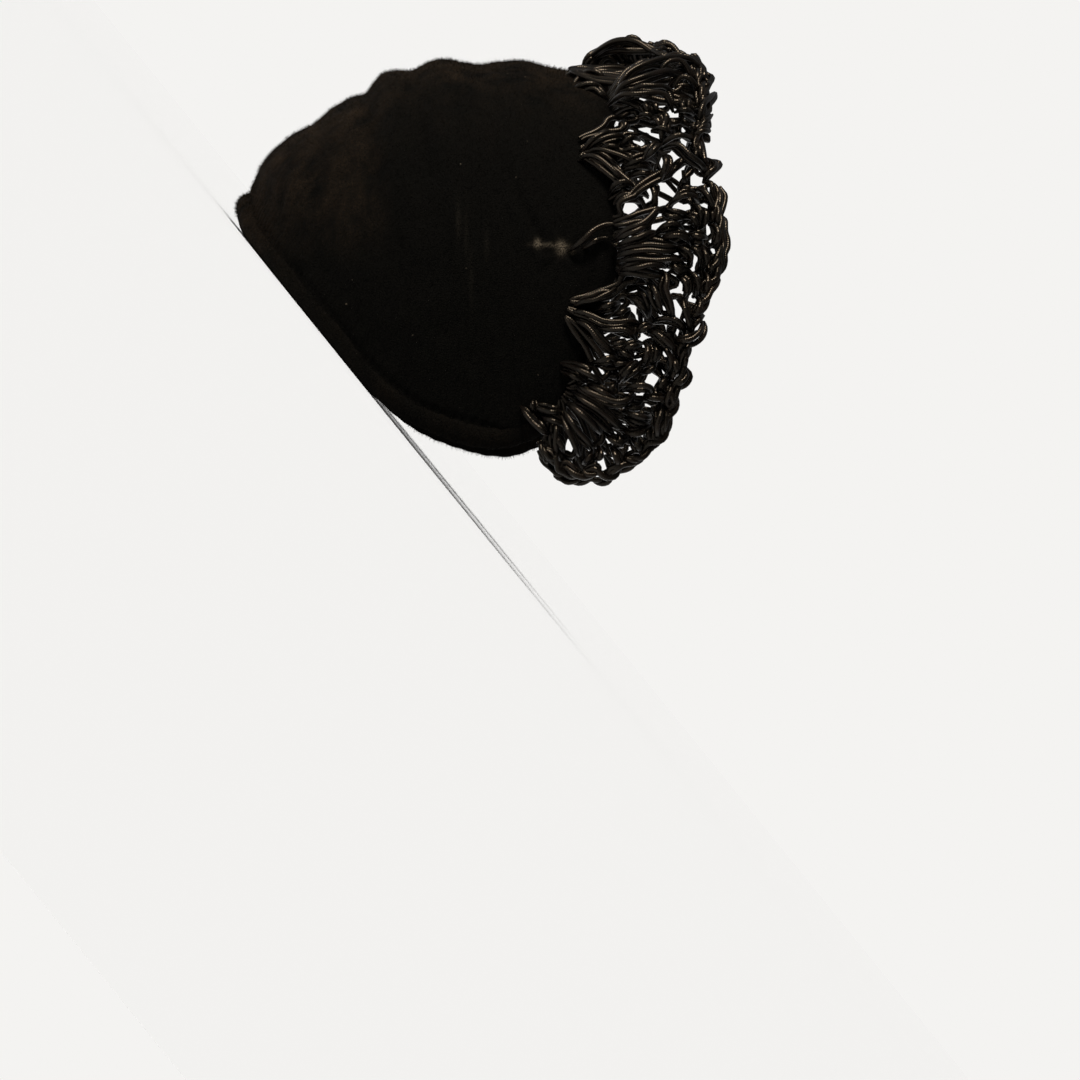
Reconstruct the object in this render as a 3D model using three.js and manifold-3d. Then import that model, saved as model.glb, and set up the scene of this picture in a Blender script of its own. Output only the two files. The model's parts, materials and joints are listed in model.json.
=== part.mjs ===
// Headband hat: a stiffened velvet crown that saddles the head from ear to ear, a rolled
// velvet binding round its back and lower edges, and a front trim of crocheted cord shells.
// Millimetres. The hat lies on its back edge, as it rests on a table: +Z up, the front
// towards -Y, and the side that is the wearer's right towards -X.

import * as THREE from 'three';
import { mergeVertices } from 'three/addons/utils/BufferGeometryUtils.js';
import Module from 'manifold-3d';

const wasm = await Module();
wasm.setup();

// Velvet crown
const crownHeight = 121; // from the back edge it rests on up to the top of its front edge
const crownDepth = 125.3; // from the back of the crown forward to its front corners
const crownWidth = 157; // across the widest part
const crownRound = 97; // from the back of a level section forward to its widest part
const crownFullness = 2.15; // superellipse exponent of a level section: 2 is an ellipse
const wall = 2.6; // velvet over its stiff foundation
const foldHeight = 2.2; // a full fold of the velvet over the foundation
const foldFade = 0.3; // share of a fold's reach after which it starts to flatten

// Rolled binding on the back and lower edges
const bindingWidth = 6.4; // over the crown's surface
const bindingThickness = 4.6; // through the wall
const restPress = 0.7; // how much of the roll's underside is pressed flat where it rests

// Crocheted cord trim
const cordDiameter = 2.1;
const cordSides = 5;
const shellReach = 36; // root to outer chain of a large shell, straight ahead
const shellLift = 11.5; // how high the highest large shell domes off the crown
const shellBase = 9; // width of a large shell's root
const innerRow = 0.62; // share of the reach at which the inner chain crosses the strands
const smallReach = 22.5; // root to chain of a small shell
const smallLift = 3.2; // how much higher its chain lies than its root
const smallBase = 3; // width of its root
const smallInset = 10.5; // how far back from the front edge its root is sewn
const smallSpread = 35; // degrees to each side
const clearance = 0.3; // gap between two pieces that touch

// How a large shell domes from its root to its chain: below 1 its top lies nearer the root,
// a higher fullness keeps it level for longer, and a lower shoulder makes it rise steeper
const domeSkew = 0.75;
const domeFullness = 2.6;
const domeShoulder = 0.62;

// Mesh steps
const roundSteps = 20; // round a level section
const sectionEnd = 112; // degrees from the back to where a level section is let go
const bindingSides = 8;
const bindingSteps = 44;
const largeStrandSteps = 4;
const smallStrandSteps = 2;
const strandStops = [0, 0.12, 0.35, 0.65, 0.9, 1]; // shares of the reach that a strand goes through
const frontCutSteps = 12;
const lowerCutSteps = 16;
const edgeSamples = 48;
const rollCrowding = 1.6; // above 1 sets the roll's steps closer round the middle of the back
const slopeStep = 0.4; // mm over which a slope is measured
const halvings = 24;
const seatings = 6;

// The back of the crown from its lowest level up: shares of crownHeight and crownDepth.
const backLine = [
  { up: -0.08, forward: 0.09 },
  { up: 0, forward: 0.064 },
  { up: 0.05, forward: 0.05 },
  { up: 0.11, forward: 0.034 },
  { up: 0.16, forward: 0.01 },
  { up: 0.23, forward: 0.001 },
  { up: 0.34, forward: 0.006 },
  { up: 0.48, forward: 0.026 },
  { up: 0.57, forward: 0.043 },
  { up: 0.69, forward: 0.094 },
  { up: 0.76, forward: 0.15 },
  { up: 0.855, forward: 0.226 },
  { up: 0.945, forward: 0.32 },
  { up: 1, forward: 0.374 },
  { up: 1.14, forward: 0.515 },
];

// Half width of a level section: shares of crownHeight and of half the crownWidth.
const widthLine = [
  { up: -0.08, half: 0.915 },
  { up: 0, half: 0.94 },
  { up: 0.25, half: 0.99 },
  { up: 0.5, half: 1 },
  { up: 0.75, half: 0.96 },
  { up: 1, half: 0.87 },
  { up: 1.14, half: 0.8 },
];

// Level sections below and above those of the folds: shares of crownHeight.
const lowLevels = [0, 0.1];
const topLevels = [0.925, 1];

// The edge it lies on and the lower edge, from the middle of the back to the front corner:
// shares of crownDepth and crownHeight. The first row's place forward is the crown's back.
const lowerEdge = [
  { up: 0.035 },
  { forward: 0.125, up: 0.008 },
  { forward: 0.19, up: 0 },
  { forward: 0.34, up: 0 },
  { forward: 0.48, up: 0 },
  { forward: 0.61, up: 0 },
  { forward: 0.725, up: 0.02 },
  { forward: 0.81, up: 0.055 },
  { forward: 0.9, up: 0.112 },
  { forward: 0.968, up: 0.182 },
  { forward: 1, up: 0.268 },
];

// The front edge from its top to its corner: shares of how far it falls and comes forward.
const frontEdge = [
  { down: 0, forward: 0 },
  { down: 0.104, forward: 0.2 },
  { down: 0.26, forward: 0.44 },
  { down: 0.467, forward: 0.7 },
  { down: 0.655, forward: 0.85 },
  { down: 0.84, forward: 0.945 },
  { down: 1, forward: 1 },
];

// Soft folds that run from the crest down both sides: where each starts on the crest and its
// half width, as shares of crownHeight; its lean below level in degrees; its height as a
// share of foldHeight; and how far down the side it reaches, as a share of crownDepth.
const folds = [
  { up: 0.2, width: 0.06, lean: 26, height: 0.3, reach: 0.4 },
  { up: 0.34, width: 0.05, lean: 28, height: -0.3, reach: 0.5 },
  { up: 0.42, width: 0.045, lean: 30, height: 0.25, reach: 0.5 },
  { up: 0.49, width: 0.022, lean: 31, height: -0.7, reach: 0.45 },
  { up: 0.56, width: 0.04, lean: 30, height: 1.15, reach: 0.6 },
  { up: 0.625, width: 0.022, lean: 31, height: -0.35, reach: 0.6 },
  { up: 0.685, width: 0.045, lean: 32, height: 0.65, reach: 0.8 },
  { up: 0.765, width: 0.035, lean: 33, height: -0.4, reach: 0.7 },
  { up: 0.855, width: 0.05, lean: 35, height: 0.5, reach: 0.6 },
];

// Large shells of one half, from the crest down: the root's place as a share of the half
// edge; how far back on the velvet it is sewn, and how far its middle, its first and its last
// strand reach, as shares of shellReach; how far the fan opens up and down in degrees; its
// strands; and how high it domes as a share of shellLift.
const largeShells = [
  { at: 0, back: 0.2, reach: 1.1, upReach: 1.17, downReach: 1.17,
    up: 24, down: 24, strands: 5, lift: 0.92 },
  { at: 0.27, back: 0.08, reach: 0.98, upReach: 1.04, downReach: 1.04,
    up: 26, down: 28, strands: 6, lift: 0.88 },
  { at: 0.59, back: 0.08, reach: 1.02, upReach: 1.1, downReach: 1.08,
    up: 37, down: 38, strands: 6, lift: 0.7 },
  { at: 0.915, back: 0.08, reach: 0.92, upReach: 1, downReach: 0.54,
    up: 33, down: 68, strands: 7, lift: 0.5 },
];

// Small shells between them, by the same rule.
const smallShells = [
  { at: 0.13, strands: 4 },
  { at: 0.42, strands: 4 },
  { at: 0.76, strands: 4 },
];

const halfWidth = crownWidth / 2;
const sidePoint = (forward, up) => new THREE.Vector2(forward * crownDepth, up * crownHeight);
const backCurve = new THREE.SplineCurve(backLine.map((row) => sidePoint(row.forward, row.up)));
const widthCurve = new THREE.SplineCurve(
  widthLine.map((row) => new THREE.Vector2(row.half * halfWidth, row.up * crownHeight)),
);

// The value a curve has at a height, found by halving: its heights only rise.
function atHeight(curve, height) {
  let low = 0;
  let high = 1;
  for (let i = 0; i < halvings; i += 1) {
    const half = (low + high) / 2;
    if (curve.getPoint(half).y < height) low = half;
    else high = half;
  }
  return curve.getPoint(low).x;
}

const backAt = (height) => atHeight(backCurve, height);
const widthAt = (height) => atHeight(widthCurve, height);

// Points are worked out with y forward, and the whole hat is turned to face -Y at the end.
// Level sections are superellipses: this is 0 on the crown, less inside and more outside.
function outsideBy(point) {
  const across = Math.abs(point.x) / widthAt(point.z);
  const behind = Math.abs(1 - (point.y - backAt(point.z)) / crownRound);
  return Math.pow(across, crownFullness) + Math.pow(behind, crownFullness) - 1;
}

function normalAt(point) {
  const slope = (x, y, z) => {
    const change = new THREE.Vector3(x, y, z).multiplyScalar(slopeStep);
    return outsideBy(point.clone().add(change)) - outsideBy(point.clone().sub(change));
  };
  return new THREE.Vector3(slope(1, 0, 0), slope(0, 1, 0), slope(0, 0, 1)).normalize();
}

// Moves a point that is close to the crown onto it.
function ontoCrown(point) {
  const seated = point.clone();
  for (let i = 0; i < seatings; i += 1) {
    const normal = normalAt(seated);
    const away = outsideBy(seated);
    const next = outsideBy(seated.clone().addScaledVector(normal, slopeStep));
    seated.addScaledVector(normal, -away * slopeStep / (next - away));
  }
  return seated;
}

// The point of the right or left side of the crown that is seen from the side at this place.
function fromSide(forward, up, side) {
  const behind = Math.abs(1 - (forward - backAt(up)) / crownRound);
  const across = Math.pow(Math.max(1 - Math.pow(behind, crownFullness), 0), 1 / crownFullness);
  return new THREE.Vector3(side * widthAt(up) * across, forward, up);
}

function foldAt(point) {
  let height = 0;
  for (const fold of folds) {
    const up = fold.up * crownHeight;
    const lean = THREE.MathUtils.degToRad(fold.lean);
    const forward = point.y - backAt(up);
    const rise = point.z - up;
    const away = (forward * Math.sin(lean) + rise * Math.cos(lean)) / (fold.width * crownHeight);
    const down = forward * Math.cos(lean) - rise * Math.sin(lean);
    const reach = fold.reach * crownDepth;
    const fade = 1 - THREE.MathUtils.smoothstep(down, foldFade * reach, reach);
    height += fold.height * Math.exp(-away * away) * fade;
  }
  return height * foldHeight;
}

function indexed(points, faces) {
  const geometry = new THREE.BufferGeometry().setFromPoints(points);
  geometry.setIndex(faces);
  geometry.computeVertexNormals();
  return geometry;
}

function toSolid(geometry) {
  geometry.deleteAttribute('normal');
  geometry.deleteAttribute('uv');
  const merged = mergeVertices(geometry, 1e-5);
  return new wasm.Manifold(new wasm.Mesh({
    numProp: 3,
    vertProperties: merged.attributes.position.array,
    triVerts: new Uint32Array(merged.index.array),
  }));
}

function fromSolid(solid) {
  const mesh = solid.getMesh();
  const geometry = new THREE.BufferGeometry();
  geometry.setAttribute('position', new THREE.BufferAttribute(mesh.vertProperties, 3));
  geometry.setIndex(new THREE.BufferAttribute(mesh.triVerts, 1));
  geometry.computeVertexNormals();
  return geometry;
}

// Closes a wall between two grids of points, the outer one and the inner one.
function wallGeometry(outer, inner) {
  const rows = outer.length;
  const columns = outer[0].length;
  const points = [...outer.flat(), ...inner.flat()];
  const faces = [];
  const id = (layer, r, c) => layer * rows * columns + r * columns + c;
  const quad = (a, b, c, d) => faces.push(a, b, c, a, c, d);
  for (let r = 0; r < rows - 1; r += 1) {
    for (let c = 0; c < columns - 1; c += 1) {
      quad(id(0, r, c), id(0, r, c + 1), id(0, r + 1, c + 1), id(0, r + 1, c));
      quad(id(1, r, c), id(1, r + 1, c), id(1, r + 1, c + 1), id(1, r, c + 1));
    }
  }
  const top = rows - 1;
  for (let c = 0; c < columns - 1; c += 1) {
    quad(id(0, 0, c + 1), id(0, 0, c), id(1, 0, c), id(1, 0, c + 1));
    quad(id(0, top, c), id(0, top, c + 1), id(1, top, c + 1), id(1, top, c));
  }
  const end = columns - 1;
  for (let r = 0; r < top; r += 1) {
    quad(id(0, r, 0), id(0, r + 1, 0), id(1, r + 1, 0), id(1, r, 0));
    quad(id(0, r + 1, end), id(0, r, end), id(1, r, end), id(1, r + 1, end));
  }
  return indexed(points, faces);
}

// A slab across the whole hat whose outline, seen from the side, is this one.
function sideSlab(outline) {
  const across = crownWidth + 4 * bindingThickness;
  const shape = new THREE.Shape(outline);
  const slab = new THREE.ExtrudeGeometry(shape, { depth: across, bevelEnabled: false });
  slab.translate(0, 0, -across / 2);
  // The outline's x is forward (+Y) and its y is up (+Z)
  const turn = new THREE.Matrix4().makeBasis(
    new THREE.Vector3(0, 1, 0),
    new THREE.Vector3(0, 0, 1),
    new THREE.Vector3(1, 0, 0),
  );
  slab.applyMatrix4(turn);
  return toSolid(slab);
}

const firstUp = lowerEdge[0].up * crownHeight;
const lowerCurve = new THREE.SplineCurve(lowerEdge.map((row, i) => (
  i === 0 ? new THREE.Vector2(backAt(firstUp), firstUp) : sidePoint(row.forward, row.up)
)));
const frontTop = new THREE.Vector2(backAt(crownHeight), crownHeight);
const frontCorner = lowerCurve.getPoint(1);
const frontCurve = new THREE.SplineCurve(frontEdge.map((row) => new THREE.Vector2(
  frontTop.x + (frontCorner.x - frontTop.x) * row.forward,
  frontTop.y + (frontCorner.y - frontTop.y) * row.down,
)));

// The velvet crown: a round wall, cut off along the front edge and beside the binding.
function crownGeometry() {
  const outer = [];
  const inner = [];
  // A level through each fold, one between each two, and those below and above them
  const levels = [backLine[0].up, ...lowLevels];
  folds.forEach((fold, i) => {
    if (i > 0) levels.push((folds[i - 1].up + fold.up) / 2);
    levels.push(fold.up);
  });
  levels.push(...topLevels, backLine[backLine.length - 1].up);
  for (const level of levels) {
    outer.push([]);
    inner.push([]);
    const up = level * crownHeight;
    for (let j = 0; j <= roundSteps; j += 1) {
      const angle = THREE.MathUtils.degToRad(sectionEnd) * (2 * j / roundSteps - 1);
      const power = 2 / crownFullness;
      const cosine = Math.sign(Math.cos(angle)) * Math.pow(Math.abs(Math.cos(angle)), power);
      const sine = Math.sign(angle) * Math.pow(Math.abs(Math.sin(angle)), power);
      const forward = backAt(up) + crownRound * (1 - cosine);
      const point = new THREE.Vector3(widthAt(up) * sine, forward, up);
      const normal = normalAt(point);
      outer[outer.length - 1].push(point.clone().addScaledVector(normal, foldAt(point)));
      inner[inner.length - 1].push(point.clone().addScaledVector(normal, -wall));
    }
  }
  const around = toSolid(wallGeometry(outer, inner));

  const beyond = crownDepth / 2;
  const frontSpots = frontCurve.getPoints(frontCutSteps);
  const topTangent = frontCurve.getTangent(0);
  const cornerTangent = frontCurve.getTangent(1);
  const behindFront = [
    frontTop.clone().addScaledVector(topTangent, -beyond),
    ...frontSpots,
    frontSpots[frontSpots.length - 1].clone().addScaledVector(cornerTangent, beyond),
    new THREE.Vector2(-beyond, -beyond),
    new THREE.Vector2(-beyond, crownHeight + beyond),
  ];

  const inset = bindingWidth + clearance;
  const raised = Array.from({ length: lowerCutSteps + 1 }, (_, i) => {
    const tangent = lowerCurve.getTangent(i / lowerCutSteps);
    const inward = new THREE.Vector2(-tangent.y, tangent.x);
    return lowerCurve.getPoint(i / lowerCutSteps).addScaledVector(inward, inset);
  });
  const aboveLower = [
    new THREE.Vector2(-beyond, raised[0].y),
    ...raised,
    raised[lowerCutSteps].clone().addScaledVector(lowerCurve.getTangent(1), beyond),
    new THREE.Vector2(crownDepth + 2 * beyond, crownHeight + beyond),
    new THREE.Vector2(-beyond, crownHeight + beyond),
  ];
  return fromSolid(around.intersect(sideSlab(behindFront)).intersect(sideSlab(aboveLower)));
}

// The binding is a flattened roll that follows the right lower edge, the back edge and the
// left lower edge, and is pressed flat on what it rests on.
function bindingGeometry() {
  const halfSteps = bindingSteps / 2;
  const spots = [];
  for (let i = -halfSteps; i <= halfSteps; i += 1) {
    const share = Math.abs(i) / halfSteps;
    const seen = lowerCurve.getPointAt(Math.pow(share, rollCrowding));
    spots.push(fromSide(seen.x, seen.y, Math.sign(i)));
  }
  const route = new THREE.CatmullRomCurve3(spots, false, 'centripetal');
  const points = [];
  for (let i = 0; i <= bindingSteps; i += 1) {
    const point = route.getPointAt(i / bindingSteps);
    const along = route.getTangentAt(i / bindingSteps);
    const normal = normalAt(point);
    const inward = along.clone().cross(normal).normalize().negate();
    if (inward.z < 0) inward.negate();
    const outward = inward.clone().cross(along).normalize();
    const centre = point.clone()
      .addScaledVector(inward, bindingWidth / 2 - restPress)
      .addScaledVector(normal, -wall / 2);
    for (let k = 0; k < bindingSides; k += 1) {
      const angle = (k + 0.5) / bindingSides * 2 * Math.PI;
      const corner = centre.clone()
        .addScaledVector(inward, Math.cos(angle) * bindingWidth / 2)
        .addScaledVector(outward, Math.sin(angle) * bindingThickness / 2);
      if (corner.z < restPress) corner.z = 0;
      points.push(corner);
    }
  }
  const faces = [];
  const id = (i, k) => i * bindingSides + (k % bindingSides);
  for (let i = 0; i < bindingSteps; i += 1) {
    for (let k = 0; k < bindingSides; k += 1) {
      faces.push(id(i, k), id(i + 1, k + 1), id(i, k + 1));
      faces.push(id(i, k), id(i + 1, k), id(i + 1, k + 1));
    }
  }
  for (let k = 1; k < bindingSides - 1; k += 1) {
    faces.push(id(0, 0), id(0, k), id(0, k + 1));
    faces.push(id(bindingSteps, 0), id(bindingSteps, k + 1), id(bindingSteps, k));
  }
  return indexed(points, faces);
}

// The front edge in space, measured by its own length from the right corner to the left.
const edgeCurve = new THREE.CatmullRomCurve3(
  Array.from({ length: edgeSamples + 1 }, (_, i) => {
    const share = 2 * i / edgeSamples - 1;
    const seen = frontCurve.getPointAt(1 - Math.cos(share * Math.PI / 2));
    return fromSide(seen.x, seen.y, Math.sign(share));
  }),
);
const halfEdge = edgeCurve.getLength() / 2;

// A point of the trim: millimetres along the edge from its top, forward of the edge over the
// crown's surface carried on, and off that surface.
function trimPoint(along, forward, off) {
  const share = along / halfEdge;
  const u = THREE.MathUtils.clamp((share + 1) / 2, 0, 1);
  const across = edgeCurve.getTangentAt(u);
  const edge = edgeCurve.getPointAt(u);
  const edgeNormal = normalAt(edge);
  const ahead = across.clone().cross(edgeNormal).normalize().negate();
  const point = edge.clone()
    .addScaledVector(across, (share - (2 * u - 1)) * halfEdge)
    .addScaledVector(ahead, forward);
  if (forward >= 0) return point.addScaledVector(edgeNormal, off + Math.max(foldAt(edge), 0));
  const seat = ontoCrown(point);
  return seat.clone().addScaledVector(normalAt(seat), off + Math.max(foldAt(seat), 0));
}

function cord(points, steps) {
  const section = new THREE.Shape(Array.from({ length: cordSides }, (_, k) => {
    const angle = 2 * Math.PI * k / cordSides;
    return new THREE.Vector2(Math.cos(angle), Math.sin(angle)).multiplyScalar(cordDiameter / 2);
  }));
  const extrudePath = new THREE.CatmullRomCurve3(points);
  return toSolid(new THREE.ExtrudeGeometry(section, { steps, extrudePath, bevelEnabled: false }));
}

// Height of a large shell over the crown: it rises steeply from its root, runs level and
// comes down again to its outer chain.
function domeHeight(share, lift) {
  const across = Math.abs(2 * Math.pow(share, domeSkew) - 1);
  const dome = Math.pow(1 - Math.pow(across, domeFullness), domeShoulder);
  return cordDiameter / 2 + clearance + lift * shellLift * dome;
}

// Strands from a root to the outer chain, and a chain over them at each of these shares of
// the reach. spot(q, share) is the place on a strand from the fan's first (0) to its last (1).
function fan(spot, strands, chains, steps) {
  const solids = [];
  for (let i = 0; i < strands; i += 1) {
    const q = i / (strands - 1);
    solids.push(cord(strandStops.map((share) => spot(q, share)), steps));
  }
  for (const share of chains) {
    const chain = Array.from({ length: strands }, (_, i) => spot(i / (strands - 1), share));
    solids.push(cord(chain, strands - 1));
  }
  return fromSolid(wasm.Manifold.union(solids));
}

function largeShell(row, side) {
  const centre = side * row.at * halfEdge;
  const turn = side === 0 ? 1 : side;
  const spot = (q, share) => {
    const degrees = -row.up + (row.up + row.down) * q;
    const angle = THREE.MathUtils.degToRad(degrees);
    const toEnd = degrees < 0 ? degrees / row.up : degrees / row.down;
    const endReach = degrees < 0 ? row.upReach : row.downReach;
    const fullReach = shellReach * (row.reach + (endReach - row.reach) * toEnd * toEnd);
    const along = (q - 0.5) * shellBase + fullReach * share * Math.sin(angle);
    const forward = fullReach * share * Math.cos(angle) - row.back * shellReach;
    return trimPoint(centre + turn * along, forward, domeHeight(share, row.lift));
  };
  return fan(spot, row.strands, [innerRow, 1], largeStrandSteps);
}

function smallShell(row, side) {
  const centre = side * row.at * halfEdge;
  const spread = THREE.MathUtils.degToRad(smallSpread);
  const spot = (q, share) => {
    const angle = spread * (2 * q - 1);
    const along = (q - 0.5) * smallBase + smallReach * share * Math.sin(angle);
    const forward = smallReach * share * Math.cos(angle) - smallInset;
    return trimPoint(centre + along, forward, cordDiameter / 2 + clearance + smallLift * share);
  };
  return fan(spot, row.strands, [1], smallStrandSteps);
}

const velvet = new THREE.MeshStandardMaterial({ color: 0x0d0b0c, roughness: 0.95, metalness: 0 });
const velvetRoll = new THREE.MeshStandardMaterial({ color: 0x151112, roughness: 0.9, metalness: 0 });
const gimpCord = new THREE.MeshStandardMaterial({ color: 0x14110f, roughness: 0.45, metalness: 0 });

const hat = new THREE.Group();

function addPiece(name, geometry, material) {
  const piece = new THREE.Mesh(geometry, material);
  piece.name = name;
  hat.add(piece);
}

addPiece('crown', crownGeometry(), velvet);
addPiece('edge_binding', bindingGeometry(), velvetRoll);

const sides = [{ name: 'right', side: 1 }, { name: 'left', side: -1 }];
largeShells.forEach((row, i) => {
  if (row.at === 0) {
    addPiece('large_shell_centre', largeShell(row, 0), gimpCord);
    return;
  }
  for (const { name, side } of sides) {
    addPiece(`large_shell_${name}_${i}`, largeShell(row, side), gimpCord);
  }
});
smallShells.forEach((row, i) => {
  for (const { name, side } of sides) {
    addPiece(`small_shell_${name}_${i + 1}`, smallShell(row, side), gimpCord);
  }
});

// The hat faces -Y, and its origin is in the middle under it
const extent = new THREE.Box3().setFromObject(hat);
const middle = extent.getCenter(new THREE.Vector3());
hat.rotation.z = Math.PI;
hat.position.set(middle.x, middle.y, -extent.min.z);

export default hat;
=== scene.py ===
"""Headband hat: silk velvet over a stiff foundation, with a rolled edge and a front trim of
crocheted gimp cord. The hat lies on its back edge and is seen from the wearer's right."""

import json
import math
from collections import namedtuple

import bpy
import numpy as np
from bpy.props import FloatProperty, FloatVectorProperty, IntProperty, PointerProperty
from mathutils import Matrix, Vector, noise

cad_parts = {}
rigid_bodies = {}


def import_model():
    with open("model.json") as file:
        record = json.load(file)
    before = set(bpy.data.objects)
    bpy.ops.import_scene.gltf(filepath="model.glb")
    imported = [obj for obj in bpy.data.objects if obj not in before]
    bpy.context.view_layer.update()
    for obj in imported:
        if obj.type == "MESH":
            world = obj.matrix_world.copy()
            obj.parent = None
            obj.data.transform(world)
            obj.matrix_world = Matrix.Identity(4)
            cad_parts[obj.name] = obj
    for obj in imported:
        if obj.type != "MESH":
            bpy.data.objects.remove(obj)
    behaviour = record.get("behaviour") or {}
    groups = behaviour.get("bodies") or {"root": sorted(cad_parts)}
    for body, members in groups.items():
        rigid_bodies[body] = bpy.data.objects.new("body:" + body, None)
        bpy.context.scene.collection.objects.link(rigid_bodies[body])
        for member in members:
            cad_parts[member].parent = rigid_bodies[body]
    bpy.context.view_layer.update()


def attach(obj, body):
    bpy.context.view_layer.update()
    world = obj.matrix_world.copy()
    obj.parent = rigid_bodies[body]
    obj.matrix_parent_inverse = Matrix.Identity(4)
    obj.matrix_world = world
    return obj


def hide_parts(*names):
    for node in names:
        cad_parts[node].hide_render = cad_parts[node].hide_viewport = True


bl_info = {
    "name": "Headband Hat",
    "version": (1, 0, 0),
    "blender": (4, 5, 0),
    "location": "3D View > Sidebar > Hat",
    "description": "Dresses the packed frame of a headband hat in velvet and crocheted cord",
    "category": "Object",
}

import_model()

MM = 0.001

# The hat's sizes in millimetres, as in the part's source. Points are worked out with y forward
# and the wearer's right at +x, and are turned to the frame's own axes when a mesh is made.
CROWN_HEIGHT = 121.0
CROWN_DEPTH = 125.3
CROWN_WIDTH = 157.0
CROWN_ROUND = 97.0
CROWN_FULLNESS = 2.15
WALL = 2.6
FOLD_HEIGHT = 1.6
FOLD_FADE = 0.3
BINDING_WIDTH = 6.4
BINDING_THICKNESS = 4.6
REST_PRESS = 0.7
CORD_DIAMETER = 2.1
SHELL_REACH = 36.0
SHELL_LIFT = 11.5
INNER_ROW = 0.62
SMALL_REACH = 22.5
SMALL_LIFT = 3.2
SMALL_BASE = 3.0
SMALL_INSET = 10.5
SMALL_SPREAD = 35.0
CLEARANCE = 0.3
DOME_SKEW = 0.75
DOME_FULLNESS = 2.6
DOME_SHOULDER = 0.62
MIDDLE_FORWARD = 75.6  # from the back of the crown forward to the frame's origin

# How the cords lie, in millimetres
UNDER_LAYER = 4.2  # how far the lower loops lie under the shells' tops
CENTRE_LAYER = 1.5  # the same for the centre shell
CHAIN_SPACING = 6.5  # from link to link of the centre shell's inner chain
RIM_SPACING = 7.5  # and of its border
RIM_BUMP = 9  # degrees of its opening for each bump of its border
UNDER_STEP = 1.6  # from point to point of a lower cord
STRAND_STEP = 2.2  # from point to point of a strand that shows
STRAND_SEAT = 0.3  # height of a layer's strands over the relief at their ends
STRAND_ARCH = 1.3  # and what their arch adds to it
END_DEPTH = 2.4  # how far a strand's ends sink, into the velvet or under its shell's top
NEXT_DEPTH = 0.35  # share of that for the points next to the ends
BORDER_TURN = 16.0  # length of one turn of the border's two strands round each other
BORDER_HALF = 0.9  # how far each of the two strands swings to its side
BORDER_RISE = 1.1  # and up and down
BORDER_LINK = 0.72  # size of the links on the border, as a share of a full link
# How far each border's middle lies from its line; less is nearer the crown
BORDER_INSETS = {"1": -1.4, "2": -1.8, "3": -0.5}
TIGHT_START = (0.25, 0.12)  # where a cord is drawn tight: share of its width, share of its length
TIGHT_END = (0.22, 0.1)
END_WIDTH = 0.6  # share of that width which a cord keeps at its very ends
STRAY = 0.22  # how far a lower cord strays from its way
LINK_STRAY = 0.25  # and a link from its place
LINK_SEED = 5

# The crown's back from its lowest level up: share of the height, share of the depth
BACK_LINE = [
    (-0.08, 0.09), (0, 0.064), (0.05, 0.05), (0.11, 0.034), (0.16, 0.01), (0.23, 0.001),
    (0.34, 0.006), (0.48, 0.026), (0.57, 0.043), (0.69, 0.094), (0.76, 0.15),
    (0.855, 0.226), (0.945, 0.32), (1, 0.374), (1.14, 0.515),
]
# Half width of a level section: share of the height, share of half the width
WIDTH_LINE = [(-0.08, 0.915), (0, 0.94), (0.25, 0.99), (0.5, 1), (0.75, 0.96), (1, 0.87), (1.14, 0.8)]
# The edge it lies on, after its start on the back: share of the depth, share of the height
LOWER_START = 0.035
LOWER_EDGE = [
    (0.125, 0.008), (0.19, 0), (0.34, 0), (0.48, 0), (0.61, 0), (0.725, 0.02), (0.81, 0.055),
    (0.9, 0.112), (0.968, 0.182), (1, 0.268),
]
# The front edge from its top to its corner: shares of its fall and of its way forward
FRONT_EDGE = [(0, 0), (0.104, 0.2), (0.26, 0.44), (0.467, 0.7), (0.655, 0.85), (0.84, 0.945), (1, 1)]
# Folds: start on the crest, half width, lean in degrees, height, reach
FOLDS = [
    (0.2, 0.06, 26, 0.3, 0.4), (0.34, 0.05, 28, -0.3, 0.5), (0.42, 0.045, 30, 0.25, 0.5),
    (0.49, 0.022, 31, -0.7, 0.45), (0.56, 0.04, 30, 1.15, 0.6), (0.625, 0.022, 31, -0.35, 0.6),
    (0.685, 0.045, 32, 0.65, 0.8), (0.765, 0.035, 33, -0.4, 0.7), (0.855, 0.05, 35, 0.5, 0.6),
]

# Large shells: place on the half edge; as shares of the full reach, how far the root is set back and
# the reach of the middle, first and last strand; degrees that it opens up and down; long loops and
# posts of the lower layer; share of the full lift; width of the root
LargeShell = namedtuple("LargeShell", "at back reach first_reach last_reach up down loops posts lift root")
LARGE_SHELLS = {
    "centre": LargeShell(0, 0.2, 1.1, 1.17, 1.17, 24, 24, 5, 6, 0.92, 9),
    "1": LargeShell(0.27, 0.0, 0.92, 0.98, 0.98, 24, 26, 4, 5, 0.88, 8),
    "2": LargeShell(0.59, 0.02, 0.98, 1.04, 1.02, 32, 33, 4, 6, 0.7, 15),
    "3": LargeShell(0.915, 0.04, 0.8, 0.86, 0.42, 32, 62, 5, 6, 0.5, 12),
}
# Small shells: place on the half edge and long loops
SMALL_SHELLS = {"1": (0.13, 7), "2": (0.42, 3), "3": (0.76, 3)}

VIEW_LEAN = 50.96  # degrees that the worn hat's upright leans from the frame's
CAMERA_DISTANCE = 1600.0
SIGHT = np.array([150.0, 12.3])  # where the camera's line of sight meets the middle plane: forward, up

# The worn hat's crest, seen from its right side with its upright up: to the right, down
WORN_MIDDLE = 23.8  # how far forward of the crown's back its zero lies
CREST = [
    (-8.3, -25), (-1.9, -31.4), (12.2, -45.8), (25, -53.8), (38.4, -61.1), (60.8, -63), (82.6, -62.7),
    (101.8, -59.2),
]
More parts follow.
